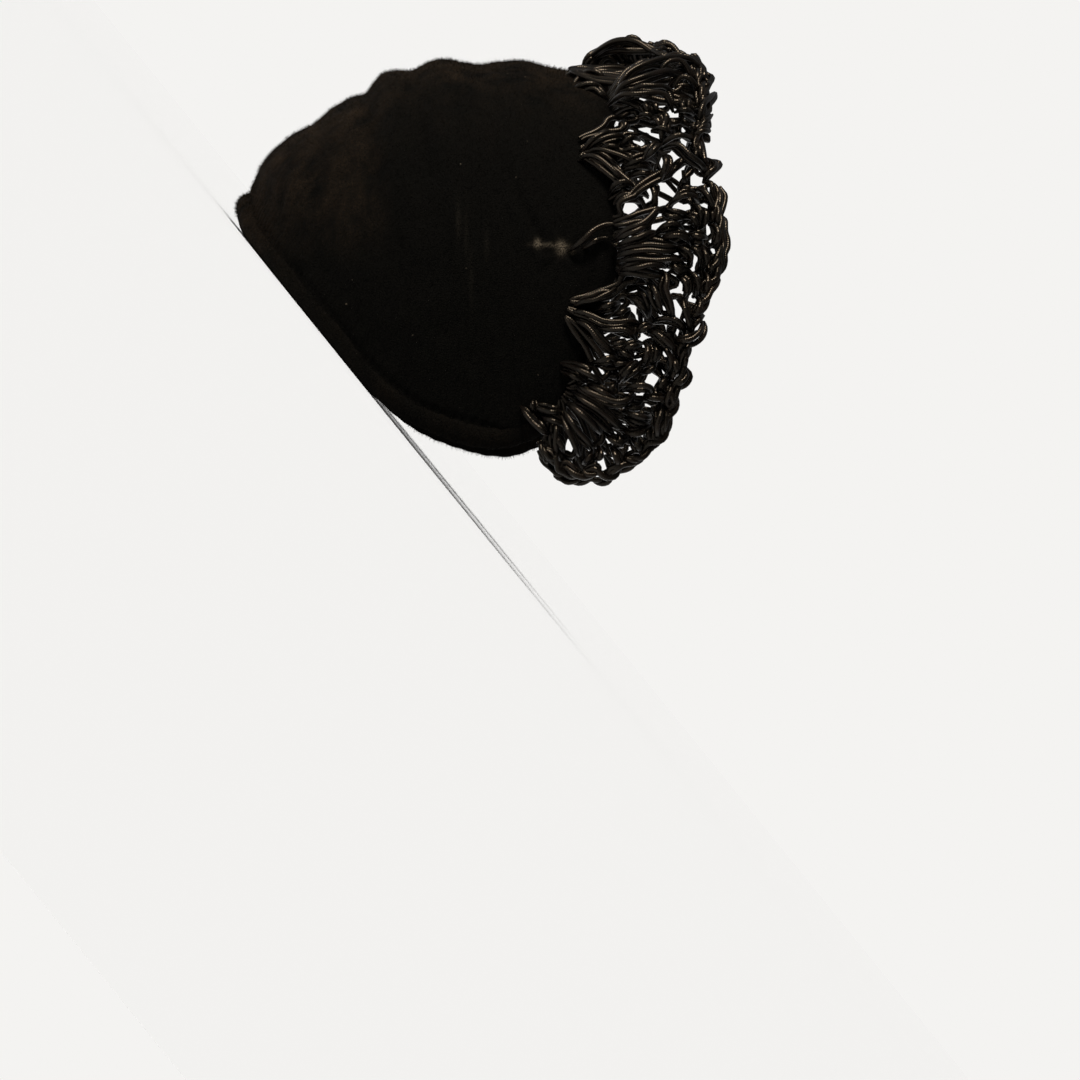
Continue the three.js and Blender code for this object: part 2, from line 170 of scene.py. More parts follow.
# Rubbed places of the velvet as the camera sees them: forward, up, half width, half height, strength.
# The faint ones are streaks that run with the nap.
FAINT = 0.5
RIGHT_FROM = 20  # how far right of the middle the worn places and the crease begin
RUBBED = [
    (75.8, 71.6, 1, 1.2, 0.8), (81.7, 76.6, 1.4, 1.8, 0.9), (78.4, 74, 4.5, 0.5, 0.5),
    (84.3, 78.6, 0.8, 0.8, 0.5), (54.2, 56.3, 6, 0.6, 0.054), (58.8, 55.8, 8, 0.5, 0.036),
    (71, 48, 9, 0.5, 0.03), (65.6, 58.8, 5, 0.6, 0.03),
]

# Strands of the right side's shells as the camera sees them: layer, then forward and up of each point.
# Layer 2 lies on top, 1 under it, and 0 is the border.
STRANDS = {
    "centre": [
        (2, 41.3, 118.4, 39.8, 120.1, 39.4, 123, 40.5, 126.7, 41.8, 130.3, 43, 133.6, 44.2, 135.9, 46.2,
         137.1),
        (2, 42.4, 119.8, 42.4, 123.3, 42.9, 126.2, 44.3, 128.8, 46.7, 130.4),
        (1, 43.6, 121.9, 44.2, 124.2, 45.5, 126.9, 47.2, 128.5),
        (1, 40.8, 126.5, 43.1, 129.3, 45, 131, 46.8, 132.6),
        (2, 43.8, 131, 43.7, 133, 44.5, 135.7, 46.2, 137.5, 48, 137.9),
        (2, 46.4, 134.5, 47.7, 133.8, 49.1, 133.7, 50.1, 134.4),
        (2, 46.9, 136.3, 48.4, 135.3, 50, 134.7, 51.1, 135.4),
        (2, 48.1, 137.4, 50.1, 136.7, 51.8, 136.5, 52.4, 137.6),
        (1, 46.8, 138.4, 48, 139.8, 49.7, 140, 50.6, 138.8),
        (1, 50.6, 139.1, 51.4, 141.7, 53.3, 143.5, 55.3, 144.2),
        (2, 52.2, 137.3, 52, 139.4, 52.8, 141.5, 54.8, 143.2, 56.5, 144.6),
        (1, 54.2, 141.3, 55.6, 144, 57.7, 145.9, 59.6, 146.5),
        (1, 57.9, 146.7, 59.4, 148.3, 61.6, 148.4, 63.9, 147.5),
        (1, 48, 132.8, 48.2, 130.3, 49.3, 127.8, 50.7, 125.4, 52.4, 123.4),
        (1, 46.9, 130.5, 48.1, 128, 49.4, 124.9, 50.8, 122.6, 53, 120.2),
        (1, 42.6, 118.5, 43.7, 120.8, 45.8, 122.5, 48.7, 122.9),
    ],
    "small_1": [
        (1, 39.1, 112.4, 40.6, 115, 42.7, 117, 44.8, 118.6, 47.1, 119.5, 49.3, 121),
        (2, 41.3, 115.4, 42.7, 118.4, 44.5, 120.3, 47.1, 121.8, 49.7, 122.5),
        (2, 44.9, 111, 45.3, 113.5, 46.2, 116.1, 48.5, 118.4, 51, 120.1),
        (1, 47.4, 112.3, 48, 114.6, 49.2, 116.4, 51.4, 117.5, 53.5, 118.8),
    ],
    "1": [
        (2, 54.6, 118.5, 55.1, 120.1, 55.9, 122.6, 58.1, 125.5, 60.4, 128.8, 62.9, 132.1, 65.3, 133.3,
         67.7, 133.2, 69.4, 133.3),
        (2, 56.2, 124.7, 56.9, 127.9, 58.5, 130.4, 60.9, 133.1, 63.1, 135.5, 65.6, 136.3),
        (2, 54.6, 120.9, 53.5, 123.2, 54, 126.5, 55.5, 130.9, 56.8, 134.1, 58.3, 137.5, 60.1, 140.2, 61.5,
         142.1),
        (2, 53, 123.1, 52, 126.1, 51.8, 130.2, 52.7, 134.1, 53.9, 137.3, 55.3, 140.4, 57, 143.2, 59.6,
         145.8, 62, 147.1, 65.2, 147.6),
        (1, 52.8, 125.7, 52.8, 129.4, 53.6, 133.4, 55.5, 137, 57.5, 139.6),
        (1, 50.6, 129.3, 51.2, 132.5, 52.6, 135.6, 54.2, 138.5),
        (2, 57.5, 136.3, 56.8, 138.7, 57.2, 141.2, 58.5, 143.4, 60.4, 144.3, 62.7, 143.9, 64.6, 142.8),
        (1, 58.2, 141.8, 60.9, 143.8, 63.7, 144.3, 66.3, 143.4),
        (1, 63, 138.6, 62.6, 140.1, 63.3, 141.5, 65.4, 142.5, 67.5, 142.7, 69.3, 142.3),
        (1, 62.5, 145.8, 64.7, 146.1, 66, 144.8, 66.8, 143),
        (1, 67, 144.9, 68.7, 145.2, 70.2, 143.7, 71.6, 142, 72.9, 140.7),
        (2, 72.2, 146.1, 73.4, 144.8, 74.1, 142.7, 74.5, 141, 75.7, 139, 77.8, 136.4),
        (1, 72.7, 139.4, 74.6, 140.8, 76.4, 139.8, 77.7, 137.9, 79.3, 135.9),
        (2, 77.6, 141.9, 78.7, 140.4, 79, 137.3, 79.5, 134.7),
        (2, 81.2, 138.8, 82, 137.7, 81.4, 136.1, 80.3, 133.7, 80.5, 131.7),
        (1, 69.5, 139.7, 70.5, 138.3, 72.9, 136.3),
        (1, 68.3, 136.4, 70.1, 135.9, 72, 134.9),
        (2, 69.8, 133.6, 71.9, 135.4, 74, 137.7),
        (1, 76.2, 134.6, 77.9, 134.2, 79.7, 134.4),
        (1, 67.9, 130.5, 69.9, 129.5, 72, 128.7),
        (1, 63.4, 129.9, 65.3, 129, 67, 128.3),
        (2, 61.3, 126.5, 63.3, 126.6, 65.4, 125.9),
        (2, 66.5, 126, 68.9, 126.6, 71.3, 126.3, 72.5, 126.4),
        (2, 69.7, 124.1, 71.8, 126.1, 73.7, 127.1, 75.7, 127.2),
        (1, 63.5, 123.5, 65.5, 125.4, 67.5, 126.3),
        (2, 75.6, 123.4, 76.1, 125.9, 77.7, 128.8, 79.7, 130.9, 80.3, 133.4),
        (1, 82.5, 130.1, 84.6, 130, 86, 128.6, 87.5, 128.8),
        (2, 76.7, 123.3, 78.3, 125.5, 80.8, 126.8, 83.5, 127.1, 86.6, 127.6, 90.2, 128.7, 92.1, 129),
        (2, 89.1, 131.9, 91.2, 132.2, 92.7, 130.8, 92.5, 128.1, 93.4, 126.2),
        (2, 78, 121.6, 80.1, 120.8, 82.1, 119.2, 84.1, 116.5),
        (2, 75.3, 123.8, 75.5, 121.5, 75.9, 118.6, 75.7, 116.2),
        (1, 69.5, 131.3, 71.1, 127.6, 73.5, 124.7, 75.1, 123.9),
        (1, 81.8, 133.9, 83.9, 131.7, 86.3, 130.2, 88.9, 130),
        (0, 58, 144.3, 58.5, 147.2, 60.5, 148.8, 63.9, 148.6, 65.7, 149.1, 67.5, 148.4, 69.6, 149, 70.7,
         148.1, 71.6, 146, 73.4, 144.9, 74.6, 142.9, 77, 142.3, 78.6, 141.1, 79.2, 139, 81.3, 138.7, 81.8,
         136.8, 82.2, 134.3, 84.2, 132.8, 86.4, 132, 88.2, 131.1, 90.5, 131.9, 92, 130.3, 92.3, 127.7),
    ],
    "small_2": [
        (2, 61.3, 101.7, 60.9, 105.1, 61.3, 108.4, 62.2, 111.5, 63.3, 114.6),
        (2, 61.5, 103.2, 62.4, 107.1, 63.4, 110.5, 64.9, 113, 66.8, 115.3, 68, 115.4),
        (2, 62.5, 101.7, 63.5, 104.3, 66.1, 106.9, 69.3, 109, 71.9, 110.6, 74.6, 111.7, 77.1, 113.9),
        (2, 62.5, 99, 63.4, 101.1, 65.9, 103.4, 69.1, 104.5, 73, 105.1, 76.3, 105.7, 78.7, 106),
        (1, 64.5, 105.9, 65.6, 108.7, 67.7, 110.7, 70, 111.7),
        (1, 68, 111.9, 67.7, 114.1, 68.4, 116.7, 69.8, 119.1),
        (1, 68.9, 110.3, 70.5, 113.2, 72.4, 115.8, 75, 117.2),
        (2, 73.4, 108, 74.7, 111.2, 75.9, 114.4, 77.1, 117.2, 78.6, 118.5),
        (1, 77.1, 108.3, 79.2, 111.7, 81.8, 113.6, 83.7, 113.7),
        (1, 74.3, 107.3, 75.8, 110.3, 77.6, 113, 79.6, 116.1),
        (2, 77.3, 100, 76.6, 102.2, 77.4, 104.8, 79, 106.7, 81.4, 107.8),
        (1, 81.2, 106.8, 81.6, 109.8, 82.7, 112.6),
        (1, 82.5, 113.7, 84, 111.8, 86.6, 110.7, 89.2, 109.5, 91.1, 108.4),
        (1, 61.4, 117.3, 62.6, 118.2, 64.1, 117.7, 63.6, 115.4),
        (1, 80.8, 99.2, 80.5, 102.3, 82.8, 105.1, 84, 107.8, 86.2, 109.3),
        (1, 81.7, 101.3, 83.2, 103.3, 85.6, 106),
    ],
    "tack": [
        (2, 83.6, 78.2, 84.1, 81.1, 84, 84.5, 83.7, 88, 84.5, 91.5, 85.7, 95.2),
        (1, 85.8, 81.6, 86.5, 84.8, 87, 87.6, 88.1, 90.7),
    ],
    "2": [
        (2, 89.7, 91.5, 90.1, 95.4, 90.8, 98.5, 91.8, 101.5, 91.8, 104.5, 91.4, 107.4, 91.9, 109.8, 91.7,
         111.8),
        (2, 90.5, 91.3, 91.4, 94.8, 92.4, 98.2, 93.1, 101.4, 93, 104.7),
        (2, 92.2, 91.1, 93.3, 94.7, 94.7, 98.2, 95.4, 101.4, 96.2, 104.2),
        (1, 94, 90.8, 95.7, 94.6, 98.7, 99.2, 102.5, 103.1, 104.6, 106.5),
        (1, 95, 89.1, 97, 93.5, 100.1, 98, 103.9, 102, 105.5, 105.3),
        (1, 96.9, 88.9, 99.3, 92.6, 103.8, 97.4, 106.9, 101.8, 109.6, 104.8),
        (2, 98.9, 86.9, 101.7, 90.7, 103.2, 94.1, 105.5, 97.3, 107.5, 99),
        (1, 99.8, 86.1, 102.5, 89.1, 105.2, 91.5, 107.8, 94.1, 109.3, 96.7),
        (1, 96.4, 104.3, 97.1, 107.5, 98.6, 110, 101.3, 111.6),
        (1, 99.5, 103.6, 101.7, 107.5, 104.6, 109.8, 106.8, 110.3),
        (2, 92.5, 113.1, 92.6, 115.8, 93.9, 118.5, 95.6, 120.3, 97.4, 121.2),
        (1, 91.2, 118.8, 91.4, 120.7, 94, 119.8),
        (2, 93.5, 122.8, 96.3, 123.8, 99.1, 123.2, 101.4, 123, 103.7, 121.8),
        (2, 98.5, 114, 100.2, 115.5, 102.2, 115.5, 104.4, 114.2),
        (2, 103.3, 112, 105.3, 112.5, 106.9, 113.8, 108.3, 115.7),
        (2, 105.2, 118.9, 107.6, 119.4, 109.7, 118.5, 111.2, 116.6, 110.7, 114.2),
        (1, 106.3, 111, 107.8, 111.8, 108.6, 113.6),
        (1, 92.3, 111.4, 95, 111.9, 97.2, 114, 98, 116.1),
        (1, 92.9, 109.9, 95.8, 109.9, 97.7, 111.7, 98.5, 113.8),
        (1, 96.7, 118.5, 99.5, 119.1, 101.7, 117.8, 102.9, 115.8),
        (1, 99.3, 120.6, 102.2, 119.6, 104.3, 117.5, 104.5, 115.5),
        (1, 101.5, 122.1, 104.2, 120.9, 105.6, 119.2),
        (1, 104.4, 106.2, 106.9, 107, 109.7, 107.5, 111.4, 105.6),
        (1, 106.7, 109, 109.2, 109.8, 111.8, 109.6, 113.3, 107.9),
        (1, 109.4, 112.4, 111.6, 111.6, 114.3, 110.3, 115.5, 108.4),
        (1, 107.4, 101.9, 109.6, 101.1, 111.4, 101.5, 112.4, 103.4),
        (1, 107.4, 97.7, 110.3, 96.8, 112.9, 94.2, 116.6, 93, 119.9, 91.3, 122.4, 89.8),
        (1, 107.9, 92.1, 111.7, 91, 115.2, 89.5, 118.4, 88.9),
        (1, 112, 100, 114.8, 100.6, 117.2, 99.5, 118.7, 97.4),
        (1, 112.9, 104, 115.5, 104.3, 118.4, 103.3, 120.7, 100.9),
        (1, 116.1, 107.9, 119, 107, 121.1, 104.3, 123.8, 103.1),
        (1, 118.7, 97.4, 120.8, 95.3, 124.3, 93.8, 127.7, 92.3, 129.5, 91.1),
        (1, 121.2, 101, 123.9, 99.7, 125.3, 96.8, 126.5, 94.3),
        (1, 127.4, 98.8, 127.4, 96.9, 127.7, 94.5, 128.8, 92.5),
        (2, 128.4, 97.2, 129.8, 95.5, 130.6, 93, 130.4, 90, 129.3, 87.9, 127.3, 86.4),
        (1, 115.9, 112.3, 118.6, 111, 120.4, 108.6, 120.6, 106.6),
        (1, 105.6, 123.7, 107.9, 122, 109.7, 119.6, 113.6, 117.5, 115.5, 114.7, 118.4, 113, 119.7, 110.1),
        (1, 97.4, 128.7, 100.5, 126.7, 103.4, 123.9, 105.9, 121.3),
        (0, 92.7, 126.9, 94.6, 128.2, 97.6, 128.4, 101.6, 126.4, 104.5, 124.2, 107.2, 122.9, 110.1, 120.8,
         113.3, 118.9, 115.6, 116, 118.3, 113.5, 119.4, 111.5, 121.6, 110.7, 122.7, 108.9, 123.4, 105.7,
         125.2, 103.6, 126.3, 100.4, 127, 97.5, 128.2, 95.8),
    ],
    "small_3": [
        (2, 98.4, 67.5, 99.3, 70.7, 101.3, 74.2, 102, 77.3, 102.7, 80.5, 102.7, 83.4),
        (2, 104.4, 72.6, 105.1, 75.8, 107, 80.3),
        (2, 99, 65.6, 101.6, 68.4, 104.7, 70.5, 107.9, 72.1, 110.6, 74.6, 112.5, 77.2, 114, 79.7, 116.7,
         80.9),
        (2, 102.2, 65, 104.9, 66.6, 108.3, 67.2, 111.9, 67, 114.9, 67.3, 117.7, 67.9, 121.6, 68),
        (2, 108.2, 69, 110.7, 70.8, 112.6, 73, 114.6, 75.5, 117.1, 76.4, 120.1, 76.1),
        (1, 109.1, 75.6, 109.7, 78.1, 110.5, 81.6),
        (1, 117.8, 78.1, 118.4, 80.8, 119.6, 83.6),
        (2, 118.8, 84.5, 119.4, 87, 121.2, 89.3, 123.6, 90.7, 126.4, 90.7, 128.9, 89.2),
        (2, 119.7, 81.4, 121.8, 82.7, 124.7, 83.4, 127.6, 83.9, 130.3, 84, 132.6, 83.4),
        (1, 115.7, 69.9, 116.8, 71.9, 117.4, 74),
        (1, 119.3, 71.3, 120.6, 74.4, 122.1, 77.4),
        (1, 125.5, 84, 125, 86, 125.2, 87.5),
        (1, 127, 84.1, 129.8, 85.6, 132.4, 86.3, 134.7, 85.4),
        (1, 107, 83.5, 110.3, 84.6, 113.3, 85, 116.5, 84.3),
        (1, 107.1, 88.2, 110, 87.7, 112.9, 86.7, 116.4, 85.3),
    ],
    "3": [
        (2, 110.1, 52.9, 113.1, 54.8, 116.4, 56.7, 119.5, 58.2, 122.5, 58.9, 124.4, 59.1),
        (1, 111.7, 51.3, 114.4, 52.7, 117.1, 54, 120.3, 55.5),
        (2, 119.1, 52.7, 121.9, 53.7, 124.6, 55.1, 127.5, 56.8, 130.3, 58.5, 131.6, 60, 132.7, 62.2,
         133.5, 65.4),
        (2, 121.5, 55.3, 124.6, 57.1, 127.6, 58.2, 130.7, 59.5),
        (2, 120.4, 50.1, 124.4, 51.2, 128.2, 52.6, 132.5, 53.7, 135.6, 54.3, 138, 54.6, 139.8, 55.7),
        (2, 121.8, 46.6, 125, 47.6, 129.2, 48.3, 132.5, 48.7, 136.4, 48.8),
        (1, 123, 44.2, 127.1, 43.9, 131, 43.7, 135.6, 44.1, 138.9, 43.4),
        (1, 123.3, 48, 126.8, 49.2, 131.2, 50.2, 135.9, 51, 138.9, 51.6),
        (1, 123.9, 42.4, 127.6, 41.4, 131.1, 40.7, 134.8, 39.6, 137.7, 38.8),
        (1, 123, 40.6, 126.4, 38.1, 129.3, 35.3, 133.1, 33.1),
        (2, 115.6, 37.2, 118.1, 39, 120.7, 40.9, 122.5, 43.3),
        (2, 113.2, 34.3, 116.6, 34.1, 120.4, 34.3, 123.1, 34.9, 126, 35.3),
        (1, 113.9, 38.9, 115.5, 37.1, 117.3, 36.8),
        (1, 119.1, 37.2, 121.8, 38.6, 124.1, 40.2, 126.8, 41),
        (1, 125.1, 36.4, 127.9, 36.7, 130.9, 36.7, 133.6, 35.6),
        (1, 137.1, 76, 139, 77.9, 139.2, 80.6, 138.5, 82.3, 136.5, 83),
        (1, 137.4, 71, 135.9, 73.5, 135.6, 76.3, 136.1, 77.7),
        (1, 137.3, 73.7, 140, 74.2, 142.5, 73.2, 144, 71),
        (2, 141.3, 70.2, 143.6, 66.7, 145.2, 64.3, 147.9, 62.6, 149.1, 64.1),
        (1, 142.6, 71.2, 145.2, 68.1, 147.7, 65.5, 149.2, 63),
        (2, 131.8, 82.6, 134.6, 80.8, 137.2, 79.5),
        (1, 136, 81.2, 135.3, 84, 133.7, 85.8, 132.5, 87.9),
        (2, 127.4, 86.4, 129.7, 88.5, 130.6, 91.5, 130.3, 93.9),
        (2, 120.3, 81.2, 122.2, 82.9, 125.3, 83.6, 128.3, 84.1, 131, 83.2),
        (2, 121.8, 78.4, 124.4, 77.6, 126.4, 75, 127.6, 72.4),
        (2, 127.3, 63.6, 125.9, 66.2, 125.7, 68.4, 125.4, 70.7, 125.8, 72.7),
        (1, 128, 65, 127.1, 67.7, 127.4, 70.6, 126.9, 73),
        (1, 129.8, 77, 130.2, 74, 129.6, 71.1),
        (2, 130, 63.4, 130.5, 66.6, 132.6, 69.4, 135, 70.5, 137.2, 69.8),
        (2, 135.7, 67.2, 138.2, 69.5, 140.8, 72.3),
        (1, 134.5, 60.2, 137.2, 63.2, 138, 65.5),
        (2, 135.5, 58.7, 138.7, 61.4, 142.8, 64.7),
        (1, 137.4, 57.9, 140.5, 60.4, 143.9, 62.8),
        (1, 140, 53, 142.6, 51.7, 144.2, 51.2),
        (2, 144.2, 55.2, 146.6, 55.5, 149.2, 55.2),
        (2, 141.8, 48.5, 145.5, 47.7, 148.6, 46),
        (2, 139.4, 45.6, 141.8, 44.4, 141.8, 41.9),
        (1, 138.9, 43.4, 139.5, 41, 140.3, 38.2),
        (1, 140, 54.8, 142.6, 56.7, 144, 59.7, 144.5, 62.8),
        (1, 137.1, 50, 139.9, 50.3, 142, 51.6, 143.4, 54.6),
        (1, 143.2, 61.3, 146.1, 60.5, 148.3, 58.2),
        (1, 145, 62.9, 147.4, 61.4, 148.8, 59.3),
        (2, 116.5, 60.6, 117.8, 63.6, 118.9, 66.8, 121.9, 68),
        (1, 120.4, 65.4, 122.6, 67.8, 124.6, 70.2),
        (1, 118.5, 70.3, 121.7, 71.1, 124, 72.1),
        (1, 115.7, 69.4, 117.2, 71.8, 117.9, 74),
        (1, 119.7, 70.8, 120.2, 73.9, 121.8, 76.9),
        (1, 118.4, 78.6, 118.7, 81.2, 119.5, 83.3),
        (1, 127.1, 58.3, 126.5, 62.9),
        (1, 123.8, 81.1, 126.5, 79.5, 128.1, 77.1, 128.4, 74.9),
        (1, 126.2, 82.2, 130.7, 81.6, 133.5, 79.4, 134.6, 76.9),
        (0, 130.6, 90.8, 131.9, 88, 134.1, 85.1, 136.4, 82.3, 138.3, 81.2, 139.1, 79.1, 140, 76.7, 143.1,
         74.2, 144.7, 71.5, 145.6, 68.6, 147.6, 66, 149.5, 63.6, 150, 61.1, 149, 58.4, 150, 55.8, 150.6,
         53.8, 149.6, 51.6, 148.3, 49.3, 148.1, 47.2, 148.9, 44.8, 148.5, 42.5, 146.1, 40.2, 144, 39.6,
         143.6, 37.1, 142.2, 34.7, 140.2, 32.8, 137.8, 32.1, 136.1, 30.8, 133.9, 31.3, 131.5, 31.4, 128.2,
         30.5, 125.6, 31.4),
    ],
}

# Gaps that the camera sees between the strands: forward, up, radius
GAPS = [
    (64, 137.3, 1.2), (71.5, 143.6, 0.8), (71, 131.4, 1.8), (75.2, 135.8, 0.9), (78, 130.9, 1.5),
    (74.4, 124.2, 0.7), (79.7, 128.6, 0.8), (61.8, 114.1, 1.7), (70.9, 117, 1.7), (66.8, 117.1, 0.7),
    (86.8, 122.4, 1.9), (88, 119.6, 1.9), (88.9, 115.5, 2.1), (89.7, 112.5, 1.9), (91.3, 122.9, 1.6),
    (95.7, 126.8, 1.5), (98.2, 125.8, 1.5), (89.6, 129.9, 0.8), (98, 125.4, 1.5), (100.1, 124.9, 1.3),
    (89.7, 113.5, 2.2), (90.9, 110.6, 1.5), (94.3, 113.9, 0.9), (97.9, 115.5, 1.1), (93.9, 106.5, 1.2),
    (96.6, 121.4, 0.9), (106.8, 116.7, 0.9), (113.3, 113.7, 1.3), (116.9, 105.9, 0.9),
    (122.2, 107.2, 1), (110, 104, 0.9), (111.4, 98.2, 0.9), (115.8, 95.5, 1.5), (118.6, 94, 1.6),
    (121.3, 92.5, 1.5), (121.6, 98.1, 1.1), (105.8, 85.2, 1.5), (118.9, 89.8, 0.8), (115.5, 81.3, 1.2),
    (125.8, 87.9, 1.2), (82.5, 98.3, 2.2), (85, 101.4, 2.2), (92.3, 88.5, 1.2), (94.3, 86.9, 1.1),
    (99, 83.5, 1.7), (100.8, 81.1, 1.5), (119.8, 60.2, 1.8), (131.4, 76.5, 1.8), (132.1, 72.9, 1.8),
    (128.8, 81.4, 1.1), (138.5, 65.4, 1.3), (131.8, 39, 1.3), (133.6, 37.8, 1), (137, 80.6, 0.7),
    (146.7, 63.6, 0.7),
]

# The pinched crease below the crest that ends in a tack: places as the camera sees them
CREASE_START = (46.0, 79.7)
CREASE_END = (77.2, 72.5)
CREASE_DEPTH = 0.9
CREASE_HALF = 1.5
TACK = (82.4, 75.3)
TACK_DEPTH = 1.0
TACK_HALF = 2.6

# Dust and painted sheen below the crest, a band painted lighter and browner where the light grazes the top:
# half width of the band and of its fade, and the fade's share
DUST_SHEEN_HALF = 9
DUST_SHEEN_FADE_HALF = 20
DUST_SHEEN_FADE = 0.35

PILE_LEAN = 0.9  # the most that a hair leans each way, as a share of the upright
PILE_SEED = 3
ROLL_PILE = 2.2  # hairs on the roll for each on as much of the crown

# Stage, in metres
HAT_MIDDLE = (0.0, 0.0, 0.07)
KEY_PLACE = (-0.5, 0.25, 1.0)
GLOSS_PLACE = (-0.55, 0.75, 0.8)
GLOSS_SIZE = 0.3
KEY_ANGLE = 35  # degrees


def linear(hex_code):
    """An sRGB hex colour as Blender's linear colour."""
    shares = [int(hex_code[i:i + 2], 16) / 255 for i in (1, 3, 5)]
    return tuple(c / 12.92 if c <= 0.04045 else ((c + 0.055) / 1.055) ** 2.4 for c in shares) + (1.0,)


# The shape that every piece follows

def smooth_line(points, steps=60):
    """A uniform Catmull-Rom curve through points, as closely spaced samples."""
    p = np.asarray(points, float)
    padded = np.vstack([p[:1], p, p[-1:]])
    t = np.linspace(0, 1, steps, endpoint=False)[:, None]
    spans = []
    for a, b, c, d in zip(padded[:-3], padded[1:-2], padded[2:-1], padded[3:]):
        v0, v1 = (c - a) / 2, (d - b) / 2
        spans.append((2 * b - 2 * c + v0 + v1) * t ** 3 + (3 * c - 3 * b - 2 * v0 - v1) * t ** 2 + v0 * t + b)
    return np.vstack(spans + [p[-1:]])


def along_line(line, shares):
    """Points of a sampled line at shares of its length."""
    steps = np.linalg.norm(np.diff(line, axis=0), axis=1)
    at = np.concatenate([[0], np.cumsum(steps)])
    wanted = np.asarray(shares, float) * at[-1]
    return np.stack([np.interp(wanted, at, line[:, k]) for k in range(line.shape[1])], -1)


BACK_SAMPLES = smooth_line([(f * CROWN_DEPTH, u * CROWN_HEIGHT) for u, f in BACK_LINE])
WIDTH_SAMPLES = smooth_line([(w * CROWN_WIDTH / 2, u * CROWN_HEIGHT) for u, w in WIDTH_LINE])


def back_at(up):
    """How far forward the crown's back stands at a height."""
    return np.interp(up, BACK_SAMPLES[:, 1], BACK_SAMPLES[:, 0])


def width_at(up):
    """Half the crown's width at a height."""
    return np.interp(up, WIDTH_SAMPLES[:, 1], WIDTH_SAMPLES[:, 0])


def outside_by(p):
    """0 on the crown, less inside it and more outside."""
    across = np.abs(p[..., 0]) / width_at(p[..., 2])
    behind = np.abs(1 - (p[..., 1] - back_at(p[..., 2])) / CROWN_ROUND)
    return across ** CROWN_FULLNESS + behind ** CROWN_FULLNESS - 1


def normal_at(p, step=0.4):
    """The way off the crown's surface at points."""
    slopes = []
    for axis in np.eye(3) * step:
        slopes.append(outside_by(p + axis) - outside_by(p - axis))
    n = np.stack(slopes, -1)
    return n / np.linalg.norm(n, axis=-1, keepdims=True)


def onto_crown(p, step=0.4):
    """Moves points that are close to the crown onto it."""
    for _ in range(6):
        n = normal_at(p)
        away = outside_by(p)
        slope = (outside_by(p + n * step) - away) / step
        p = p - n * (away / slope)[..., None]
    return p


def from_side(forward, up, side):
    """Crown points by their places seen from the side; side is 1 on the right and -1 on the left."""
    behind = np.abs(1 - (forward - back_at(up)) / CROWN_ROUND)
    across = np.maximum(1 - behind ** CROWN_FULLNESS, 0) ** (1 / CROWN_FULLNESS)
    return np.stack([side * width_at(up) * across, forward, up], -1)


def smooth_step(x, low, high):
    """0 below low, 1 above high, and smooth between."""
    t = np.clip((x - low) / (high - low), 0, 1)
    return t * t * (3 - 2 * t)


def fold_at(p):
    """How far the soft folds stand off the foundation."""
    height = np.zeros(p.shape[:-1])
    for start, half_width, lean, high, share in FOLDS:
        up = start * CROWN_HEIGHT
        a = math.radians(lean)
        forward = p[..., 1] - back_at(up)
        rise = p[..., 2] - up
        away = (forward * math.sin(a) + rise * math.cos(a)) / (half_width * CROWN_HEIGHT)
        down = forward * math.cos(a) - rise * math.sin(a)
        reach = share * CROWN_DEPTH
        height += high * np.exp(-away * away) * (1 - smooth_step(down, FOLD_FADE * reach, reach))
    return height * FOLD_HEIGHT


LOWER_SAMPLES = smooth_line(
    [(back_at(LOWER_START * CROWN_HEIGHT), LOWER_START * CROWN_HEIGHT)]
    + [(f * CROWN_DEPTH, u * CROWN_HEIGHT) for f, u in LOWER_EDGE]
)
FRONT_TOP = np.array([back_at(CROWN_HEIGHT), CROWN_HEIGHT])
FRONT_CORNER = LOWER_SAMPLES[-1]
FRONT_SAMPLES = smooth_line([
    (FRONT_TOP[0] + (FRONT_CORNER[0] - FRONT_TOP[0]) * f, FRONT_TOP[1] + (FRONT_CORNER[1] - FRONT_TOP[1]) * d)
    for d, f in FRONT_EDGE
])


def front_edge(samples=300):
    """The front edge from its left to its right corner, with closer samples near the top."""
    half = along_line(FRONT_SAMPLES, 1 - np.cos(np.linspace(0, 1, samples) * math.pi / 2))
    right = from_side(half[:, 0], half[:, 1], 1.0)
    return np.vstack([(right * [-1, 1, 1])[:0:-1], right])


EDGE_LINE = front_edge()
EDGE_AT = np.concatenate([[0], np.cumsum(np.linalg.norm(np.diff(EDGE_LINE, axis=0), axis=1))])
HALF_EDGE = EDGE_AT[-1] / 2


def edge_point(u):
    """Points of the front edge at shares of its length."""
    return np.stack([np.interp(u * EDGE_AT[-1], EDGE_AT, EDGE_LINE[:, k]) for k in range(3)], -1)


def trim_point(along, forward, off):
    """Points of the trim: along the edge from its top, forward of it over the crown's surface
    carried on, and off that surface."""
    along, forward, off = np.broadcast_arrays(*(np.asarray(v, float) for v in (along, forward, off)))
    share = along / HALF_EDGE
    u = np.clip((share + 1) / 2, 0, 1)
    edge = edge_point(u)
    across = edge_point(np.clip(u + 0.004, 0, 1)) - edge_point(np.clip(u - 0.004, 0, 1))
    across /= np.linalg.norm(across, axis=-1, keepdims=True)
    normal = normal_at(edge)
    ahead = -np.cross(across, normal)
    ahead /= np.linalg.norm(ahead, axis=-1, keepdims=True)
    beyond = ((share - (2 * u - 1)) * HALF_EDGE)[..., None]
    point = edge + across * beyond + ahead * forward[..., None]
    ahead_of_edge = point + normal * (off + np.maximum(fold_at(edge), 0))[..., None]
    seat = onto_crown(point)
    on_velvet = seat + normal_at(seat) * (off + np.maximum(fold_at(seat), 0))[..., None]
    return np.where((forward >= 0)[..., None], ahead_of_edge, on_velvet)


